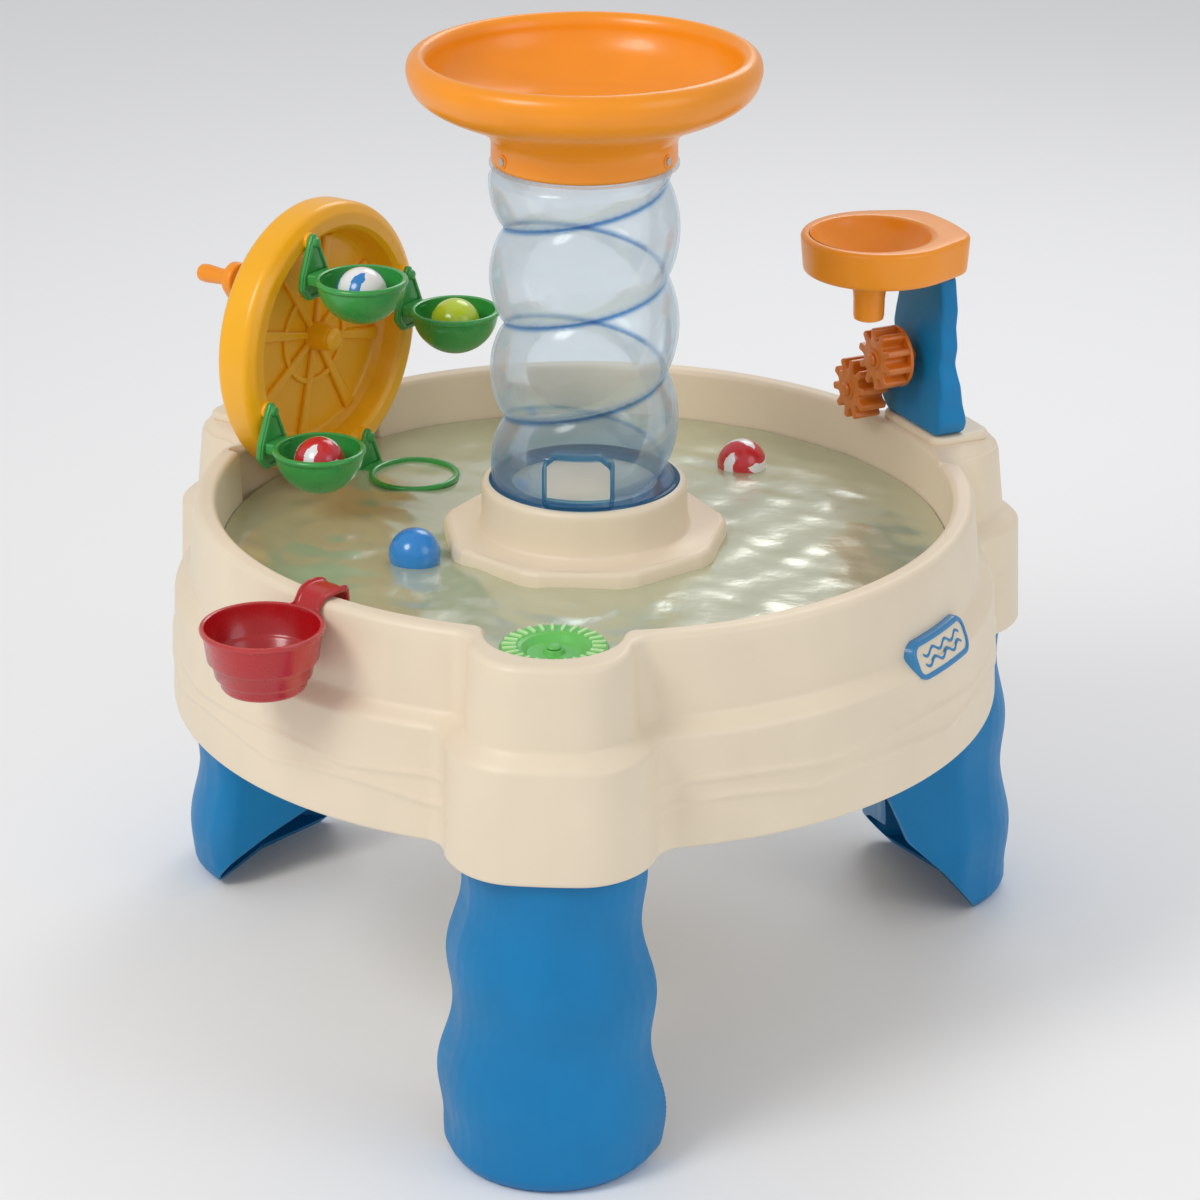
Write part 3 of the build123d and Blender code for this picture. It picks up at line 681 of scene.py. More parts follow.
def leg_outline(z, thickness):
    """Open plan outline at height z: one side wall, the rounded outer wall, the other side."""
    def wave(peak):
        return 5.0 * cos(2 * pi * (z - peak) / 122.0)

    half_width = 111.0 - 0.082 * z
    left, right = half_width + wave(208.0), half_width + wave(175.0)
    outer_r = 487.0 - 0.075 * z + 0.7 * wave(190.0)
    # the outer wall is an arc through its two ends at r 425
    end_r = 425.0
    low_t, high_t = -0.85 * left, 0.85 * right
    half_chord, rise = (high_t - low_t) / 2, outer_r - end_r
    radius = (half_chord ** 2 + rise ** 2) / (2 * rise)
    centre_r = outer_r - radius
    reach = math.asin(min(1.0, half_chord / radius))
    if centre_r > end_r:
        reach = pi - reach
    arc = [(centre_r + radius * cos(a), (low_t + high_t) / 2 + radius * sin(a))
           for a in np.linspace(-reach, reach, 15)]
    points = [(298.0, -0.86 * left), (LEG_SIDE_R, -left)] + arc + [(LEG_SIDE_R, right)]
    # the foot draws in towards the floor
    shrink = 1.0 - 0.12 * max(0.0, 1.0 - z / 16.0) ** 2
    centre = np.array([395.0, -8.0])
    points = centre + (np.array(points) - centre) * shrink
    corners = [10, 30] + [9] * len(arc) + [22]
    outline = counter_clockwise(resample(rounded(points, corners, step=4.0), 420))
    if thickness > 0:
        outline = inset(outline, thickness)
    # start at the inner corner, then cut off what lies behind the back
    back = float(np.interp(z, LEG_BACK[:, 0], LEG_BACK[:, 1]))
    start = int(np.argmin(outline[:, 0] + 0.35 * outline[:, 1]))
    outline = np.roll(outline, -start, axis=0)
    outline = np.concatenate([outline, outline[:1]])
    kept = np.nonzero(outline[:, 0] >= back)[0]
    first, last = kept[0], kept[-1]
    path = list(outline[first:last + 1])

    def crossing(p, q):
        return p + (q - p) * (back - p[0]) / (q[0] - p[0])

    if first > 0:
        path.insert(0, crossing(outline[first - 1], outline[first]))
    if last < len(outline) - 1:
        path.append(crossing(outline[last], outline[last + 1]))
    return resample(np.array(path), 190, closed=False)


def leg(name, azimuth, node):
    sole_z = 4.0
    heights = np.r_[[0, 0.6, 1.8, 3.6, 6.0, 9.0, 13.0], np.arange(17, LEG_TOP_Z, 4.5), LEG_TOP_Z]
    rings = []
    for z in heights:
        outer = leg_outline(z, 0.0)
        if z < sole_z:
            # solid foot: the inner path shrinks to nearly a point
            centre = np.array([420.0, 0.0])
            inner = centre + (outer - centre) * 0.02
            inner[:, 0] = np.maximum(inner[:, 0], outer[:, 0].min() + 2)
        else:
            inner = leg_outline(z, LEG_WALL)
        ring = np.concatenate([outer, inner[::-1]])
        rings.append(np.column_stack([ring, np.full(len(ring), z)]))
    # top of the solid foot: from here the inner path jumps outward
    above = int(np.searchsorted(heights, sole_z))
    sole = rings[above - 1].copy()
    sole[:, 2] = sole_z
    outer = leg_outline(sole_z, 0.0)
    sole[:len(outer), :2] = outer
    rings.insert(above, sole)
    add(name, [grid(rings, "ngon")], "leg", "leg", node, sharp=45, azimuth=azimuth)


# ------------------------------------------------------------------ spiral tower
TOWER_LOW, TOWER_HIGH = 511.0, 836.0
TOWER_PITCH = 94.5
TOWER_WALL = 2.6
DOOR_HALF_WIDTH, DOOR_LOW, DOOR_HIGH = 31.0, 521.0, 566.0
DOOR_ANGLE = -pi / 2              # the door faces the front


def spiral_turns(angle, z):
    return (z - 580.0) / TOWER_PITCH - (np.degrees(angle) - 180.0) / 360.0


def tower_radius(angle, z):
    turns = spiral_turns(angle, z)
    bulge = np.abs(np.sin(pi * (turns - np.floor(turns)))) ** 0.62
    r = 75.0 + 16.0 * bulge
    r = r + (90.0 - r) * (1 - smoothstep(z, TOWER_LOW + 2, TOWER_LOW + 14))
    return r + (82.0 - r) * smoothstep(z, TOWER_HIGH - 16, TOWER_HIGH - 2)


def tower_spiral():
    # angles and heights, with exact columns and rows at the edges of the door
    half_door = math.asin(DOOR_HALF_WIDTH / 84.0)
    angles = np.linspace(-pi, pi, 300, endpoint=False)
    sides = np.array([DOOR_ANGLE - half_door, DOOR_ANGLE + half_door])
    keep = np.all(np.abs(angles[:, None] - sides[None]) > 0.008, axis=1)
    angles = np.sort(np.r_[angles[keep], sides])
    heights = np.r_[np.arange(TOWER_LOW, TOWER_HIGH, 1.9), TOWER_HIGH, DOOR_LOW, DOOR_HIGH]
    heights = np.unique(np.round(heights, 3))
    for edge in (DOOR_LOW, DOOR_HIGH):
        heights = heights[(np.abs(heights - edge) > 0.7) | (heights == edge)]
    angle, z = np.meshgrid(angles, heights)
    rows, columns = angle.shape
    skins = []
    for depth in (0.0, TOWER_WALL):
        r = tower_radius(angle, z) - depth
        skins.append(np.stack([r * np.cos(angle), r * np.sin(angle), z], -1).reshape(-1, 3))
    verts = np.concatenate(skins)
    inner = rows * columns        # index offset from the outer to the inner skin

    in_door = (angles > sides[0] - 1e-6) & (angles < sides[1] - 1e-6)
    middle = (heights[:-1] + heights[1:]) / 2
    door_row = (middle > DOOR_LOW) & (middle < DOOR_HIGH)
    # the spare last row stays False and serves as the neighbour of both ends
    is_open = np.pad(door_row[:, None] & in_door[None], ((0, 1), (0, 0)))
    faces = []
    for j in range(rows - 1):
        for i in range(columns):
            if is_open[j, i]:
                continue
            after = (i + 1) % columns
            a, b = j * columns + i, j * columns + after
            c, d = b + columns, a + columns
            faces.append((a, b, c, d))
            faces.append((inner + a, inner + d, inner + c, inner + b))
            # wall thickness round the door
            for gap, p, q in ((is_open[j, after], b, c), (is_open[j, i - 1], d, a),
                              (is_open[j + 1, i], c, d), (is_open[j - 1, i], a, b)):
                if gap:
                    faces.append((p, inner + p, inner + q, q))
    top = (rows - 1) * columns
    for i in range(columns):
        after = (i + 1) % columns
        faces.append((i, inner + i, inner + after, after))
        faces.append((top + after, inner + top + after, inner + top + i, top + i))
    obj = add("tower_spiral", [(verts, faces)], "clear", "tube", "tower_tube", sharp=70)

    # groove: 1 along the spiral valley, and a fading tint above the foot
    x, y, z = verts.T
    turns = spiral_turns(np.arctan2(y, x), z)
    off_valley = np.abs(turns - np.round(turns))
    groove = np.exp(-(off_valley / 0.022) ** 2) * (z > TOWER_LOW + 16) * (z < TOWER_HIGH - 14)
    groove = np.maximum(groove, 0.42 * (1 - smoothstep(z, TOWER_LOW, TOWER_LOW + 80)))
    # merging of doubles may remove vertices, and then the values no longer line up
    if len(obj.data.vertices) == len(groove):
        attribute = obj.data.attributes.new("groove", "FLOAT", "POINT")
        attribute.data.foreach_set("value", groove.astype(np.float32))


def tower_rings():
    foot = rounded([(71, 511.3), (92.4, 511.3), (92.4, 517.5), (88.5, 519.0), (86.8, 517.0),
                    (71, 517.0)], 1.4)
    neck = rounded([(79.2, 833), (90.0, 833), (90.0, 836.5), (82.6, 836.8), (82.6, 855.5),
                    (79.2, 855.5)], 1.0)
    add("tower_foot_ring", [spun(foot, 160)], "deep", "tube")
    add("tower_neck_ring", [spun(neck, 160)], "clear", "tube")


def tower_outlet():
    """Arched lip round the door, bent back towards its sides."""
    arch = rounded([(-34, 518), (34, 518), (34, 560), (22, 571.5), (-22, 571.5), (-34, 560)],
                   [3, 3, 12, 10, 10, 12])
    # (inset, y)
    stations = ((0.0, -94.5), (0.6, -95.6), (2.4, -95.6), (3.0, -94.5), (3.0, -74.0),
                (0.0, -74.0))
    rings = inset_rings(resample(arch, 150), stations,
                        lambda x, z, y: np.stack([x, y + 0.0063 * x ** 2, z], 1))
    add("tower_outlet_arch", [torus_grid(rings)], "deep", "tube", "tower_door", sharp=50)


# ------------------------------------------------------------------ large funnel
# Closed section (radius, z): up the outside, over the rim and down the bowl
LARGE_FUNNEL = np.array([
    (82.9, 838), (88, 837.6), (88.2, 848), (88.4, 857), (92, 864.5), (100, 871), (110, 877.5),
    (125, 884), (143, 892), (155, 900), (162, 908), (166, 918), (167, 926), (165, 934),
    (160, 938.8), (154, 939.8), (149.3, 936), (147, 930), (146, 922), (140, 908), (128, 895),
    (112, 884), (99, 879), (95, 876.5), (88, 872), (84, 867), (82.9, 860)])


def large_funnel():
    loop = np.concatenate([LARGE_FUNNEL[-1:], LARGE_FUNNEL, LARGE_FUNNEL[:2]])
    add("funnel_large_shell", [spun(spline(loop, 3), 200)], "orange", "orange",
        "funnel_large", sharp=60)
    # three pads round the screws
    pad = rounded([(0.2, 86), (6.5, 86), (6.5, 89.4), (0.2, 89.4)], 1.0)
    verts, faces = spun_out(pad, 36, t=0, z=847)
    add("funnel_screw_pads", [(turned(verts, a), faces) for a in (-145.0, -25.0, 95.0)],
        "orange", "orange")


# ------------------------------------------------------------------ picture wheel
wheel_low, wheel_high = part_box("wheel_dish")
WHEEL_Z = (wheel_low.z + wheel_high.z) / 2 * 1000.0
PIVOT_RADIUS = 121.0
# (t, z) of the four hanger pivots
PIVOTS = [(PIVOT_RADIUS * cos(radians(a)), WHEEL_Z + PIVOT_RADIUS * sin(radians(a)))
          for a in (70.5, 160.5, -19.5, -109.5)]


def on_wheel_axis(profile, count, caps=False):
    return spun_out(profile, count, 0, WHEEL_Z, caps)


def wheel_disc():
    """Dish with a raised rim on its inner side, which faces the tower."""
    dish = rounded([(0.3, 331), (103, 331), (108, 322), (112.5, 304.5), (117, 301), (129, 301),
                    (140, 308), (140, 320), (140, 338), (134, 344.3), (125, 344.3), (122, 338),
                    (117, 336), (0.3, 335)],
                   [0, 7, 6, 4, 2, 9, 10, 5, 9, 5, 3, 2, 2, 0])
    parts = [on_wheel_axis(dish, 180, caps=True)]
    # spokes: raised ribs that widen towards the rim
    rib = resample(rounded([(13, -3.4), (103, -7.0), (103, 7.0), (13, 3.4)], 1.5), 90)
    verts, faces = slab(rib, 326.0, 332.0, 2.2, upright, steps=3)
    r, u, v = verts.T
    for k in range(8):
        a = radians(45.0 * k + 14.0)
        spoke = np.stack([r, u * cos(a) - v * sin(a), WHEEL_Z + u * sin(a) + v * cos(a)], 1)
        parts.append((spoke, faces))
    bead = rounded([(44, 327.6), (50, 327.6), (50, 332), (44, 332)], 1.4)
    inner_hub = rounded([(6, 306.5), (12, 306.5), (15.5, 331.5), (6, 331.5)], 1.5)
    outer_hub = rounded([(5.6, 334), (15, 334), (14, 348), (5.6, 348)], 1.5)
    parts += [on_wheel_axis(bead, 120), on_wheel_axis(inner_hub, 60),
              on_wheel_axis(outer_hub, 60)]
    pivot_boss = rounded([(3.1, 297.5), (8.5, 298.2), (9.5, 312), (3.1, 312)], 1.0)
    parts += [spun_out(pivot_boss, 40, t, z) for t, z in PIVOTS]
    add("wheel_disc", parts, "wheel", "wheel", "wheel_dish", body="picture_wheel", sharp=42,
        azimuth=LEFT)


def wheel_cap():
    cap = rounded([(0.3, 300.2), (7, 300.2), (12, 303.6), (12, 306.8), (0.3, 306.8)],
                  [0, 4, 2.5, 1, 0])
    add("wheel_cap", [on_wheel_axis(cap, 60, caps=True)], "wheel", "wheel", "wheel_hub_cap",
        body="picture_wheel", azimuth=LEFT)


def wheel_crank():
    """Arm from the axis to a knob, on the outer side of the wheel."""
    knob_t, knob_rise = 30.0, 53.0
    tilt = math.atan2(knob_rise, knob_t)
    length = math.hypot(knob_rise, knob_t)
    half_turn = [pi * k / 24 for k in range(25)]
    arm = [(17 * cos(pi / 2 + a), 17 * sin(pi / 2 + a)) for a in half_turn]
    arm += [(length + 18 * cos(a - pi / 2), 18 * sin(a - pi / 2)) for a in half_turn]
    u, v = resample(np.array(arm), 140).T
    v = v * (1 - 0.12 * np.exp(-((u - length / 2) / 26.0) ** 2))      # slight waist
    arm = np.stack([u * cos(tilt) - v * sin(tilt), WHEEL_Z + u * sin(tilt) + v * cos(tilt)], 1)
    sleeve = rounded([(5.2, 378.5), (12, 378.5), (12, 400), (5.2, 400)], 1.2)
    knob = rounded([(0.3, 407), (8.6, 407), (8.2, 424), (9.4, 440), (8.6, 449.5), (0.3, 451.6)],
                   [0, 2, 8, 8, 5, 0])
    button = rounded([(0.3, 408), (9, 408), (9, 411), (0.3, 411.8)], [0, 2, 2, 0])
    parts = [slab(arm, 398, 410, 3.0, upright), on_wheel_axis(sleeve, 48),
             spun_out(knob, 48, knob_t, WHEEL_Z + knob_rise, caps=True),
             on_wheel_axis(button, 40, caps=True)]
    add("wheel_crank_arm", parts, "orange", "orange", "wheel_crank", body="picture_wheel",
        azimuth=LEFT)


# ------------------------------------------------------------------ hanging cups
CUP_R = 237.0                     # distance of the cup centres from the tower axis
CUP_DROP = 26.0                   # rim of the cup below its pivot
# Hanger plate: (t, z) from the pivot, and the corner radii
HANGER = [(0, 13), (8, -1), (21, -31), (23, -45), (12, -58), (-12, -58), (-23, -45),
          (-21, -31), (-8, -1)]
HANGER_CORNERS = [5, 10, 8, 6, 8, 8, 6, 8, 10]
# Raised border on the hanger: (inset, r)
HANGER_BORDER = ((2.0, 293.6), (2.0, 292.3), (3.0, 291.8), (4.6, 291.8), (5.4, 292.3),
                 (5.4, 293.8))


def cup_section(rim_z):
    """Closed (radius, z) loop: rolled rim, round bowl, small foot."""
    def arc(radius, height, middle_z, start, end, count):
        return [(radius * cos(a), middle_z - height * sin(a))
                for a in np.radians(np.linspace(start, end, count))]

    rim = [(42.6 + r, z) for r, z in arc(3.6, 3.2, rim_z - 3.2, -90, 80, 18)]
    return np.array(rim + arc(43.8, 43.0, rim_z - 3, 9, 86, 22)
                    + [(0.3, rim_z - 46.0), (0.3, rim_z - 43.2)]
                    + arc(40.6, 40.2, rim_z - 3, 86, 0, 24) + [(40.7, rim_z - 1.0)])


def hanging_cup(number, t, z):
    rim_z = z - CUP_DROP
    plate = resample(rounded(np.array(HANGER) + [t, z], HANGER_CORNERS), 130)
    bracket = resample(rounded([(CUP_R + 40, -14), (294.5, -16), (294.5, 16), (CUP_R + 40, 14)],
                               2), 80)
    parts = [slab(plate, 293.4, 298.8, 1.6, upright, steps=3),
             torus_grid(inset_rings(plate, HANGER_BORDER, upright)),
             slab(bracket, rim_z - 15, rim_z - 3.0, 2.5,
                  lambda u, v, w: np.stack([u, t + v, w], 1), steps=3),
             spun(cup_section(rim_z), 90, (CUP_R, t))]
    node = "gondola_%d" % number
    add("cup_%d_shell" % number, parts, "green", "green", node, body=node, sharp=45,
        azimuth=LEFT)


def hanger_pins():
    pin = rounded([(0.3, 288.6), (4.0, 289.0), (5.4, 291.4), (5.4, 292.2), (2.9, 292.4),
                   (2.9, 313), (0.3, 313)], [0, 1.5, 1, 0.4, 0.4, 0, 0])
    add("hanger_pins", [spun_out(pin, 32, t, z, caps=True) for t, z in PIVOTS], "green",
        "green", "gondola_pins", body="picture_wheel", azimuth=LEFT)


# ------------------------------------------------------------------ balls
def swirl(point):
    x, y, z = point
    return 1 if sin(3.0 * math.atan2(y, x) + 5.0 * z) > 0.35 and abs(z) < 0.86 else 0


def band(point):
    return 1 if abs(point[2]) < 0.34 else 0


# CAD node, object name, the two materials, tilt about x and y in radians, pattern, slot
BALLS = (
    ("ball_white", "ball_white_shell", ("ball_white", "ball_blue"), (0.5, 0.7), swirl,
     "ball_white"),
    ("ball_green", "ball_lime_shell", ("ball_green", "ball_green"), (0.3, 0.4), band,
     "ball_green"),
    ("ball_red", "ball_red_shell", ("ball_red", "ball_white"), (0.6, 0.5), swirl, "ball_red"),
    ("ball_blue", "ball_blue_shell", ("ball_blue", "ball_blue"), (0.2, 0.3), band,
     "ball_blue"),
    ("ball_pink", "ball_twotone_shell", ("ball_red", "ball_white"), (0.9, 0.2), swirl,
     "ball_red"),
)


def ball(node, name, paint, tilt, pattern, slot):
    """Ball with a raised seam round its equator and a two-material pattern."""
    low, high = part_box(node)
    centre = (low + high) / 2
    radius = (high.z - low.z) / 2 * 1000.0
    seam = 0.35
    polar = np.linspace(0.0, pi, 65)[1:-1]
    polar, around = np.meshgrid(polar, full_turn(96), indexing="ij")
    r = radius - seam + seam * np.exp(-((polar - pi / 2) / 0.03) ** 2)
    verts, faces = grid(np.stack([np.sin(polar) * np.cos(around) * r,
                                  np.sin(polar) * np.sin(around) * r,
                                  np.cos(polar) * r], -1), "fan")
    rotation = np.array(Matrix.Rotation(tilt[0], 3, "X") @ Matrix.Rotation(tilt[1], 3, "Y"))
    verts = verts @ rotation.T
    indices = [pattern(np.mean(verts[list(face)] @ rotation, axis=0) / radius)
               for face in faces]
    verts = verts + np.array([centre.x, centre.y - TOWER_Y, centre.z]) * 1000.0
    obj = add(name, [(verts, faces)], paint, slot, node, body=frame["nodes"][node]["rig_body"],
              sharp=80)
    # the mesh clean-up may drop faces, and then the indices no longer line up
    if len(obj.data.polygons) == len(indices):
        obj.data.polygons.foreach_set("material_index", np.array(indices))


# ------------------------------------------------------------------ posts
def wheel_post():
    # right half of the outline in (t, z), from the foot up
    half = [(47, 515.7), (46, 530), (42, 548), (37, 570), (32, 590), (27, 612), (20, 629),
            (8, 632)]
    outline = rounded(half + [(-t, z) for t, z in half[::-1]], [2] + [9] * 14 + [2])
    body = slab(resample(outline, 200),
                lambda z: 345.0 + 16.5 * (1 - smoothstep(z, 548, 572)),
                lambda z: 404.0 - 28.5 * smoothstep(z, 512, 575), 5.0, upright, steps=5)
    add("wheel_post_shell", [body], "leg", "leg", "wheel_post", sharp=50, azimuth=LEFT)


# Wavy outline of the funnel post in (t, z)
FUNNEL_POST = [
    (-50, 515.9), (48, 515.9), (57, 524), (66, 534), (67.5, 543), (66, 552), (56, 566),
    (46, 580), (38, 600), (41, 614), (37, 632), (32, 650), (33, 668), (31, 684), (-49, 684),
    (-52, 668), (-56, 648), (-54, 630), (-58, 610), (-54, 592), (-60, 570), (-56, 548),
    (-58, 530)]


def funnel_post():
    outline = resample(rounded(FUNNEL_POST, 14), 300)
    outline[:, 1] = np.maximum(outline[:, 1], 515.8)
    body = slab(outline, 364.6, lambda z: 399.0 - 15.0 * smoothstep(z, 512, 600), 4.5, upright,
                steps=5)
    tongue = resample(rounded([(-40, 680), (24, 680), (24, 701.5), (-40, 701.5)], 3), 80)
    add("funnel_post_shell", [body, slab(tongue, 368, 380, 1.5, upright, steps=3)], "leg",
        "leg", "funnel_post", sharp=50, azimuth=RIGHT)


# ------------------------------------------------------------------ small funnel
SPOUT_R = 313.0                   # distance of the spout axis from the tower axis
# (radius, z): down inside the spout, round its mouth and up outside
SPOUT = ((11.0, 676), (11.0, 660), (11.0, 645), (11.0, 636), (11.4, 634.2), (13.0, 634.0),
         (14.6, 634.9), (15.4, 639), (15.6, 655), (17.0, 668), (24.0, 675))
# (inset, z): outer band, from its lower edge up
FUNNEL_BAND = ((9.0, 685.4), (5.5, 684.3), (3.4, 685.6), (2.6, 689), (1.6, 700), (0.5, 712),
               (0.15, 717))


def hopper_outline(inward):
    """Plan of the small funnel: round hopper with a squared lug over the post."""
    def field(x, y):
        hopper = np.hypot(x - 323, y) - 78
        lug = round_intersection(np.abs(x - 362.5) - 39.5, np.abs(y) - 56, 22.0)
        return round_union(hopper, lug, 16.0)

    centre = 335
    angles = np.linspace(-pi, pi, 3600, endpoint=False)
    r = solve(field, angles, -inward, centre_x=centre, near=10.0, far=140.0)
    return resample(np.stack([centre + r * np.cos(angles), r * np.sin(angles)], 1), 240)


def spout_circle(radius):
    angles = np.linspace(-pi, pi, 240, endpoint=False)
    return np.stack([SPOUT_R + radius * np.cos(angles), radius * np.sin(angles)], 1)


def small_funnel():
    def between(circle, outline, w):
        return circle * (1 - w) + outline * w

    inset_9 = hopper_outline(9.0)
    levels = [(spout_circle(r), z) for r, z in SPOUT]
    levels += [(between(spout_circle(40.0), inset_9, 0.1), 682),
               (between(spout_circle(52.0), inset_9, 0.5), 685.6)]
    levels += [(hopper_outline(inward), z) for inward, z in FUNNEL_BAND]
    levels += [(hopper_outline(5.0 * (1 - cos(a))), 717 + 5.0 * sin(a)) for a in quarter(6)]
    # flat top, then the bowl
    lip = spout_circle(61.5)
    levels += [(between(lip, inset_9, 0.65), 722.0), (between(lip, inset_9, 0.2), 722.0)]
    levels += [(spout_circle(r), z) for r, z in ((61.0, 721.6), (59.4, 719.6), (58.0, 715.5))]
    levels += [(spout_circle(57.0 + (12.5 - 57.0) * w), 712.5 + (678.5 - 712.5) * w ** 0.9)
               for w in np.linspace(0.12, 1.0, 10)]
    rings = [np.column_stack([plan, np.full(len(plan), float(z))]) for plan, z in levels]
    add("small_funnel_shell", [torus_grid(rings)], "orange", "orange", "funnel_small",
        sharp=48, azimuth=RIGHT)


# ------------------------------------------------------------------ paddle wheels
# object name, CAD node, t, z, angle of the first paddle in degrees, has an outer flange
PADDLES = (("paddle_upper_wheel", "paddle_upper", 0.0, 590.0, 10.0, True),
           ("paddle_lower_wheel", "paddle_lower", 50.0, 543.0, 26.0, False))
PADDLE_COUNT = 10
# One paddle and the gap after it: (angle from its middle in radians, radius)
PADDLE_TOOTH = ((-0.165, 23.5), (-0.125, 30.2), (-0.06, 31.5), (0.06, 31.5), (0.125, 30.2),
                (0.165, 23.5), (0.24, 20.8), (0.388, 20.8))


def paddle_wheel(name, node, t, z, first_angle, has_flange):
    points = []
    for k in range(PADDLE_COUNT):
        middle = 2 * pi * k / PADDLE_COUNT + radians(first_angle)
        points += [(t + radius * cos(middle + a), z + radius * sin(middle + a))
                   for a, radius in PADDLE_TOOTH]
    outline = resample(rounded(points, 1.6, step=20), 640)
    outer_r = 346.4 if has_flange else 349.0
    parts = [slab(outline, 320.4, outer_r, 1.5, upright, steps=3)]
    if has_flange:
        flange = rounded([(4.4, 345.6), (31.0, 345.6), (31.0, 349.4), (4.4, 349.4)], 1.2)
        parts.append(spun_out(flange, 90, t, z))
    hub = rounded([(4.3, 318.6), (10.5, 319.0), (11.5, 322), (4.3, 322)], 1.0)
    parts.append(spun_out(hub, 48, t, z))
    add(name, parts, "paddle", "orange", node, body=node, sharp=40, azimuth=RIGHT)


def paddle_axles():
    axle = rounded([(0.3, 315.2), (5.2, 315.4), (6.9, 317.2), (6.9, 318.6), (3.9, 318.8),
                    (3.9, 350.8), (6.9, 350.8), (6.9, 366), (0.3, 366)],
                   [0, 1.5, 1.2, 0.5, 0.3, 0.3, 0.5, 0, 0])
    add("paddle_axles", [spun_out(axle, 40, t, z, caps=True) for _, _, t, z, _, _ in PADDLES],
        "paddle", "leg", "paddle_pins", azimuth=RIGHT)


# ------------------------------------------------------------------ spinner
SPINNER_RIBS = 26


def spinner():
    disc = rounded([(3.1, 481.2), (8.5, 481.2), (9.5, 484.6), (28, 481.3), (34, 485.5),
                    (48.5, 487.6), (49.4, 490.4), (48.0, 492.8), (33.0, 492.4), (29.5, 491.4),
                    (24, 485.9), (10, 485.9), (8.2, 490.2), (3.1, 490.2)],
                   [0, 1, 1, 2, 2, 1.5, 1.5, 1.5, 1.5, 2, 2, 1, 1, 0])
    parts = [spun(disc, 160, SPINNER_CENTRE)]
    rib = resample(rounded([(34, -1.5), (47.0, -1.9), (47.0, 1.9), (34, 1.5)], 1.0), 44)
    verts, faces = slab(rib, 491.2, 495.0, 1.1, flat, steps=3)
    for k in range(SPINNER_RIBS):
        placed = turned(verts, 360.0 * k / SPINNER_RIBS) + [*SPINNER_CENTRE, 0.0]
        parts.append((placed, faces, 1))
    # the ribs take the pale rib material: a painted highlight on their tops
    add("spinner_disc", parts, ("spin", "rib"), "green", "spinner", body="spinner", sharp=45)
    axle = rounded([(0.3, 452), (2.9, 452), (2.9, 490.6), (6.8, 490.8), (6.8, 492.2),
                    (4.8, 493.9), (0.3, 494)], [0, 0, 0.3, 0.5, 1.2, 1.0, 0])
    add("spinner_axle", [spun(axle, 40, SPINNER_CENTRE, caps=True)], "spin", "green",
        "spinner_pin")


# ------------------------------------------------------------------ scoop
SCOOP_AZIMUTH, SCOOP_R, SCOOP_Z = -126.6, 440.5, 441.0
SCOOP_WIDENING = 1.022            # applied to all radii of the cup
# Cup: (radius, height): up the stepped outside, over the rim, down the inside
SCOOP_CUP = np.array([
    (0.3, 0), (32, 0), (36.5, 1.2), (38.2, 4), (39.0, 10), (41.5, 12), (43.2, 14), (45.4, 26),
    (48.0, 28), (49.6, 30), (52.6, 54), (53.4, 55.6), (55.0, 56.4), (55.6, 58.6), (54.6, 60.6),
    (52.8, 61), (51.2, 60), (50.6, 57), (47.4, 31.5), (45.6, 29.6), (43.4, 28.0), (41.0, 15.6),
    (38.8, 13.8), (36.4, 12), (35.2, 5), (33.4, 3.2), (30, 2.6), (0.3, 2.6)])
# Handle: (r, z) from the cup's rim, over the basin wall, down inside
SCOOP_HANDLE = np.array([
    (388, 498), (384.5, 500.5), (380.5, 506), (374.5, 511.6), (366, 513.2), (356, 513.2),
    (349, 511.6), (346.0, 506), (345.4, 496), (345.2, 484)])


def scoop_handle():
    """Curved strap with a raised rail along each side of its outer face."""
    ends = SCOOP_HANDLE
    padded = np.concatenate([[2 * ends[0] - ends[1]], ends, [2 * ends[-1] - ends[-2]]])
    path = np.concatenate([spline(padded, 8), ends[-1:]])
    tangent = np.gradient(path, axis=0)
    tangent /= np.linalg.norm(tangent, axis=1)[:, None]
    normal = np.stack([-tangent[:, 1], tangent[:, 0]], 1)      # towards the inner face
    half_thick = 1.6
    rings = []
    for point, inward, s in zip(path, normal, np.linspace(0, 1, len(path))):
        half = 15.0 + 3.5 * math.exp(-((s - 0.5) / 0.22) ** 2) + 5 * math.exp(-(s / 0.10) ** 2)
        half -= 3.0 * smoothstep(s, 0.86, 1.0)
        section = rounded([(-half, -half_thick), (half, -half_thick), (half, half_thick),
                           (-half, half_thick)], 1.4, step=30)
        across, depth = resample(section, 60).T
        rail = 2.6 * np.exp(-((np.abs(across) - (half - 2.4)) / 1.7) ** 2) * (depth < 0)
        placed = point + inward * (depth - rail)[:, None]
        rings.append(np.stack([placed[:, 0], across, placed[:, 1]], 1))
    return grid(rings, "ngon")


def scoop():
    cup = SCOOP_CUP * [SCOOP_WIDENING, 1.0] + [0.0, SCOOP_Z]
    add("scoop_cup", [spun(cup, 120, (SCOOP_R, 0), caps=True), scoop_handle()], "red",
        "cup_red", "scoop", body="scoop", sharp=45, azimuth=SCOOP_AZIMUTH)


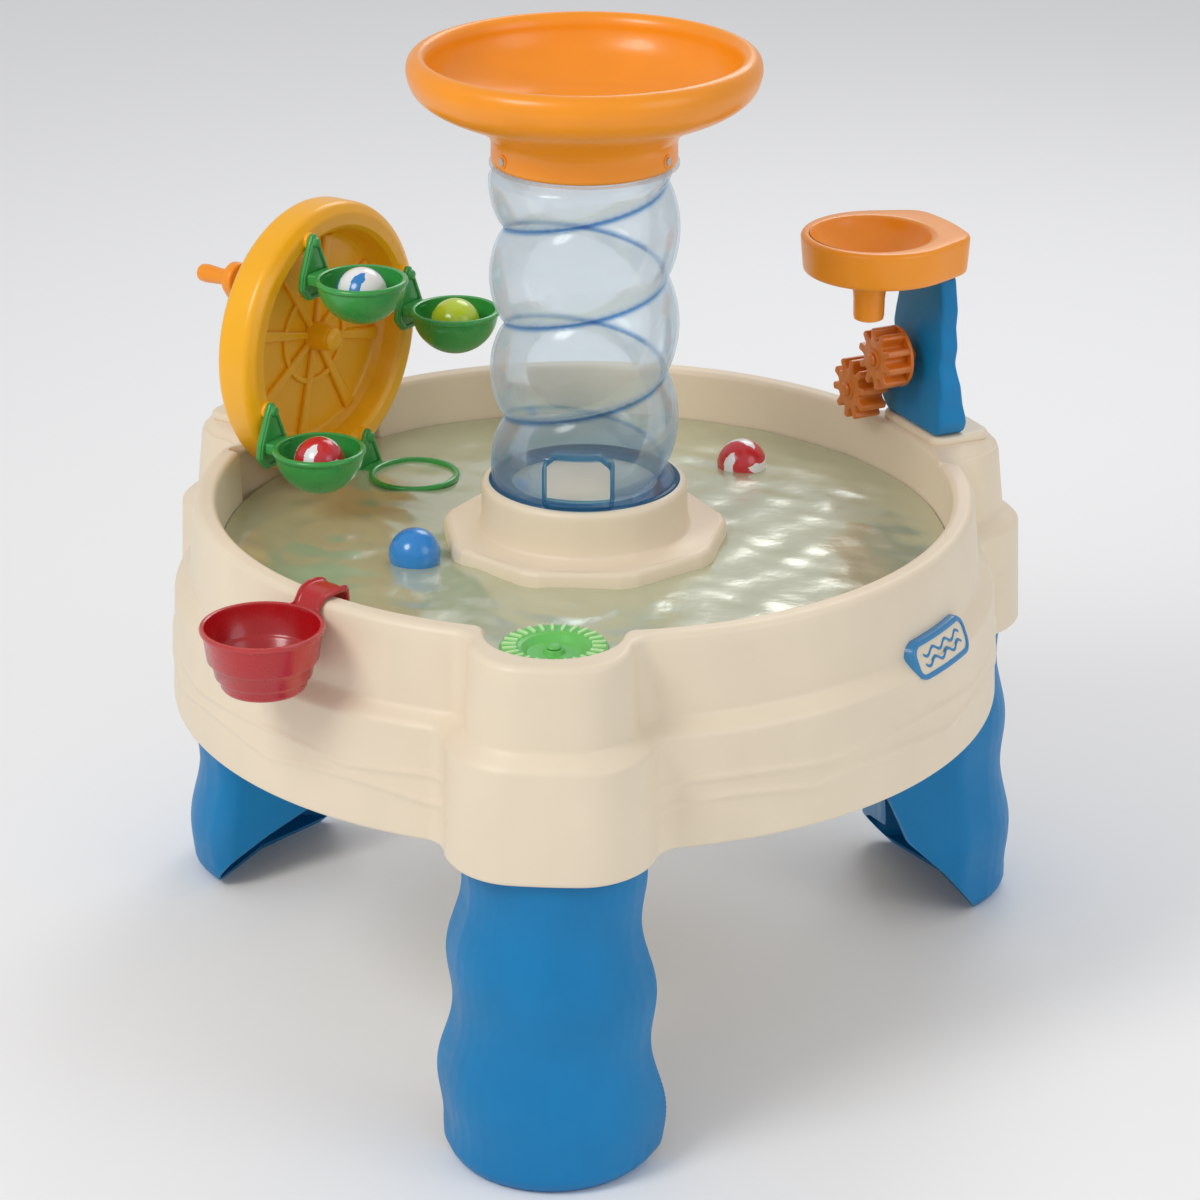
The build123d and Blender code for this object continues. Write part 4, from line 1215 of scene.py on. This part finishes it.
# ------------------------------------------------------------------ badge
def badge():
    """Plaque on the basin wall with a rim and two raised wave lines."""
    def on_wall(t, z, height):
        """Bends (t, z) round the leaning wall, raised by height."""
        radius = 401.5 - 0.40 * (z - 412.0) + height
        return np.stack([np.sqrt(np.maximum(radius ** 2 - t ** 2, 1)), t, z], 1)

    outline = resample(rounded([(-49, 411.6), (49, 411.6), (49, 446.4), (-49, 446.4)], 13), 170)
    # (inset, height over the wall)
    rim = ((0.4, -26.0), (0.0, 2.2), (0.7, 3.6), (2.6, 4.2), (4.4, 3.6), (4.9, 2.4),
           (4.9, -26.0))
    face = ((4.0, -2.0), (4.6, 2.3), (7.0, 2.6), (10.0, 2.6), (13.5, 2.6))
    parts = [torus_grid(inset_rings(outline, rim, on_wall)),
             (*grid(inset_rings(outline, face, on_wall), "ngon"), 1)]
    t = np.linspace(-34, 34, 80)
    for middle in (424.5, 433.5):
        z = middle + 2.6 * np.sin(t / 34 * 3.0 * pi)
        lines = [on_wall(t, z + 1.5 * sin(a), 2.6 + 0.9 * cos(a)) for a in full_turn(10)]
        parts.append(grid(np.transpose(np.array(lines), (1, 0, 2)), "fan"))
    add("wall_badge", parts, ("badge_trim", "badge_face"), "badge", "badge", sharp=45,
        azimuth=-28.6)


# ------------------------------------------------------------------ CAD pieces that stay
def dress(node, paint):
    mesh = frame["nodes"][node].data
    mesh.materials.clear()
    mesh.materials.append(MATERIALS[paint])
    smooth(mesh, sharp=35)


# ------------------------------------------------------------------ staging
scene = bpy.context.scene


def stage_mesh(name, verts, faces, material, is_smooth=False):
    mesh = bpy.data.meshes.new(name)
    mesh.from_pydata(verts, [], faces)
    if is_smooth:
        mesh.polygons.foreach_set("use_smooth", [True] * len(mesh.polygons))
    obj = bpy.data.objects.new(name, mesh)
    scene.collection.objects.link(obj)
    mesh.materials.append(material)


def water_material():
    graph = Graph("water_pale_green")
    noise = graph.noise(graph.object_coords(), scale=38.0, Detail=5.0)
    relief = graph.bump(noise, strength=0.22, distance=0.004)
    see_through = graph.add("BsdfTransparent", {0: (0.72, 0.80, 0.64, 1)}).outputs[0]
    cloudy = graph.add("BsdfDiffuse", {"Color": (0.60, 0.64, 0.42, 1)}).outputs[0]
    skin = graph.add("BsdfGlossy", {"Roughness": 0.20, "Color": (0.80, 0.80, 0.74, 1),
                                    "Normal": relief}).outputs[0]
    fresnel = graph.add("Fresnel", {"IOR": 1.25, "Normal": relief}).outputs[0]
    body = graph.mix_shader(0.84, see_through, cloudy)
    return graph.finish(graph.mix_shader(graph.math("MULTIPLY", fresnel, 0.45), body, skin))


def water():
    """Rippled surface in the basin, from the pedestal to the inner wall."""
    level = 455.5
    r, angle = np.meshgrid(np.linspace(101.5, 353.5, 90),
                           np.linspace(-pi, pi, 360, endpoint=False), indexing="ij")
    x, y = r * np.cos(angle), r * np.sin(angle)
    ripple = np.zeros_like(x)
    random = np.random.RandomState(4)
    for _ in range(26):
        heading = random.uniform(0, 2 * pi)
        wavelength = random.uniform(22, 90)
        height = 0.007 * wavelength * random.uniform(0.3, 1.0)
        along = x * cos(heading) + y * sin(heading)
        phase = random.uniform(0, 6.28)
        ripple += height * np.sin(along * 2 * pi / wavelength + phase) * 0.45
    # rings spreading from two points: x, y, height, ring spacing, reach
    for ring_x, ring_y, height, spacing, reach in ((-235.0, -15.0, 1.3, 7.0, 75.0),
                                                   (0.0, -170.0, 0.7, 6.0, 60.0)):
        away = np.hypot(x - ring_x, y - ring_y)
        ripple += height * np.cos(away / spacing) * np.exp(-away / reach)
    calm = np.minimum(smoothstep(r, 101, 112), 1 - 0.6 * smoothstep(r, 345, 353))
    verts, faces = grid(np.stack([x, y, level + ripple * calm], -1))
    verts = verts * MM
    verts[:, 1] += TOWER_Y
    stage_mesh("water_surface", verts.tolist(), [tuple(int(i) for i in f) for f in faces],
               water_material(), is_smooth=True)


def floor():
    graph = Graph("floor_pale")
    shader = graph.add("BsdfPrincipled", {"Base Color": (0.93, 0.93, 0.93, 1),
                                          "Roughness": 0.9, "Specular IOR Level": 0.1})
    half, z = 14.0, -0.0006       # metres
    corners = [(-half, -half, z), (half, -half, z), (half, half, z), (-half, half, z)]
    stage_mesh("floor", corners, [(0, 1, 2, 3)], graph.finish(shader.outputs[0]))


def world():
    studio = bpy.data.worlds.new("studio")
    scene.world = studio
    studio.use_nodes = True
    background = studio.node_tree.nodes["Background"]
    background.inputs["Color"].default_value = (0.97, 0.98, 1.0, 1)
    background.inputs["Strength"].default_value = 0.60


def area_light(name, location, target, size, power, color=(1, 1, 1)):
    """Disk light; places and size in metres, power in watts."""
    light = bpy.data.lights.new(name, "AREA")
    light.shape = "DISK"
    light.size = size
    light.energy = power
    light.color = color
    obj = bpy.data.objects.new(name, light)
    obj.location = location
    direction = Vector(target) - Vector(location)
    obj.rotation_euler = direction.to_track_quat("-Z", "Y").to_euler()
    scene.collection.objects.link(obj)


def camera():
    yaw, pitch = radians(4.29257), radians(22.24705)
    distance, height = 3.547244, 1.858353      # from the tower axis and the floor, in metres
    data = bpy.data.cameras.new("camera")
    obj = bpy.data.objects.new("camera", data)
    scene.collection.objects.link(obj)
    obj.location = (distance * sin(yaw), TOWER_Y - distance * cos(yaw), height)
    forward = Vector((-sin(yaw) * cos(pitch), cos(yaw) * cos(pitch), -sin(pitch)))
    obj.rotation_mode = "QUATERNION"
    obj.rotation_quaternion = forward.to_track_quat("-Z", "Y")
    data.sensor_width = 36.0
    data.lens = 117.02184
    data.shift_x, data.shift_y = 0.012944167, -0.015315
    data.clip_start, data.clip_end = 0.05, 60.0
    scene.camera = obj


# ------------------------------------------------------------------ build
basin()
leg("leg_front_shell", FRONT, "leg_front")
leg("leg_right_shell", RIGHT, "leg_right")
leg("leg_left_shell", LEFT, "leg_left")
tower_spiral()
tower_rings()
tower_outlet()
large_funnel()
wheel_disc()
wheel_cap()
wheel_crank()
for number, (t, z) in enumerate(PIVOTS, 1):
    hanging_cup(number, t, z)
hanger_pins()
for row in BALLS:
    ball(*row)
wheel_post()
funnel_post()
small_funnel()
for row in PADDLES:
    paddle_wheel(*row)
paddle_axles()
spinner()
scoop()
badge()
for node in ("leg_screws", "funnel_screws", "wheel_axle"):
    dress(node, "steel")
dress("drain_plug", "rubber")
water()
floor()
world()
area_light("key", location=(-1.9, -2.1, 3.0), target=(0, 0, 0.5), size=1.5, power=52,
           color=(1.0, 0.985, 0.96))
area_light("fill", location=(2.6, -1.6, 1.9), target=(0, 0, 0.5), size=2.0, power=14,
           color=(0.95, 0.97, 1.0))
area_light("back", location=(0.6, 2.6, 2.6), target=(0, 0, 0.6), size=1.6, power=20)
camera()
scene.view_settings.view_transform = "Standard"
scene.view_settings.look = "None"
scene.view_settings.exposure = 0.0
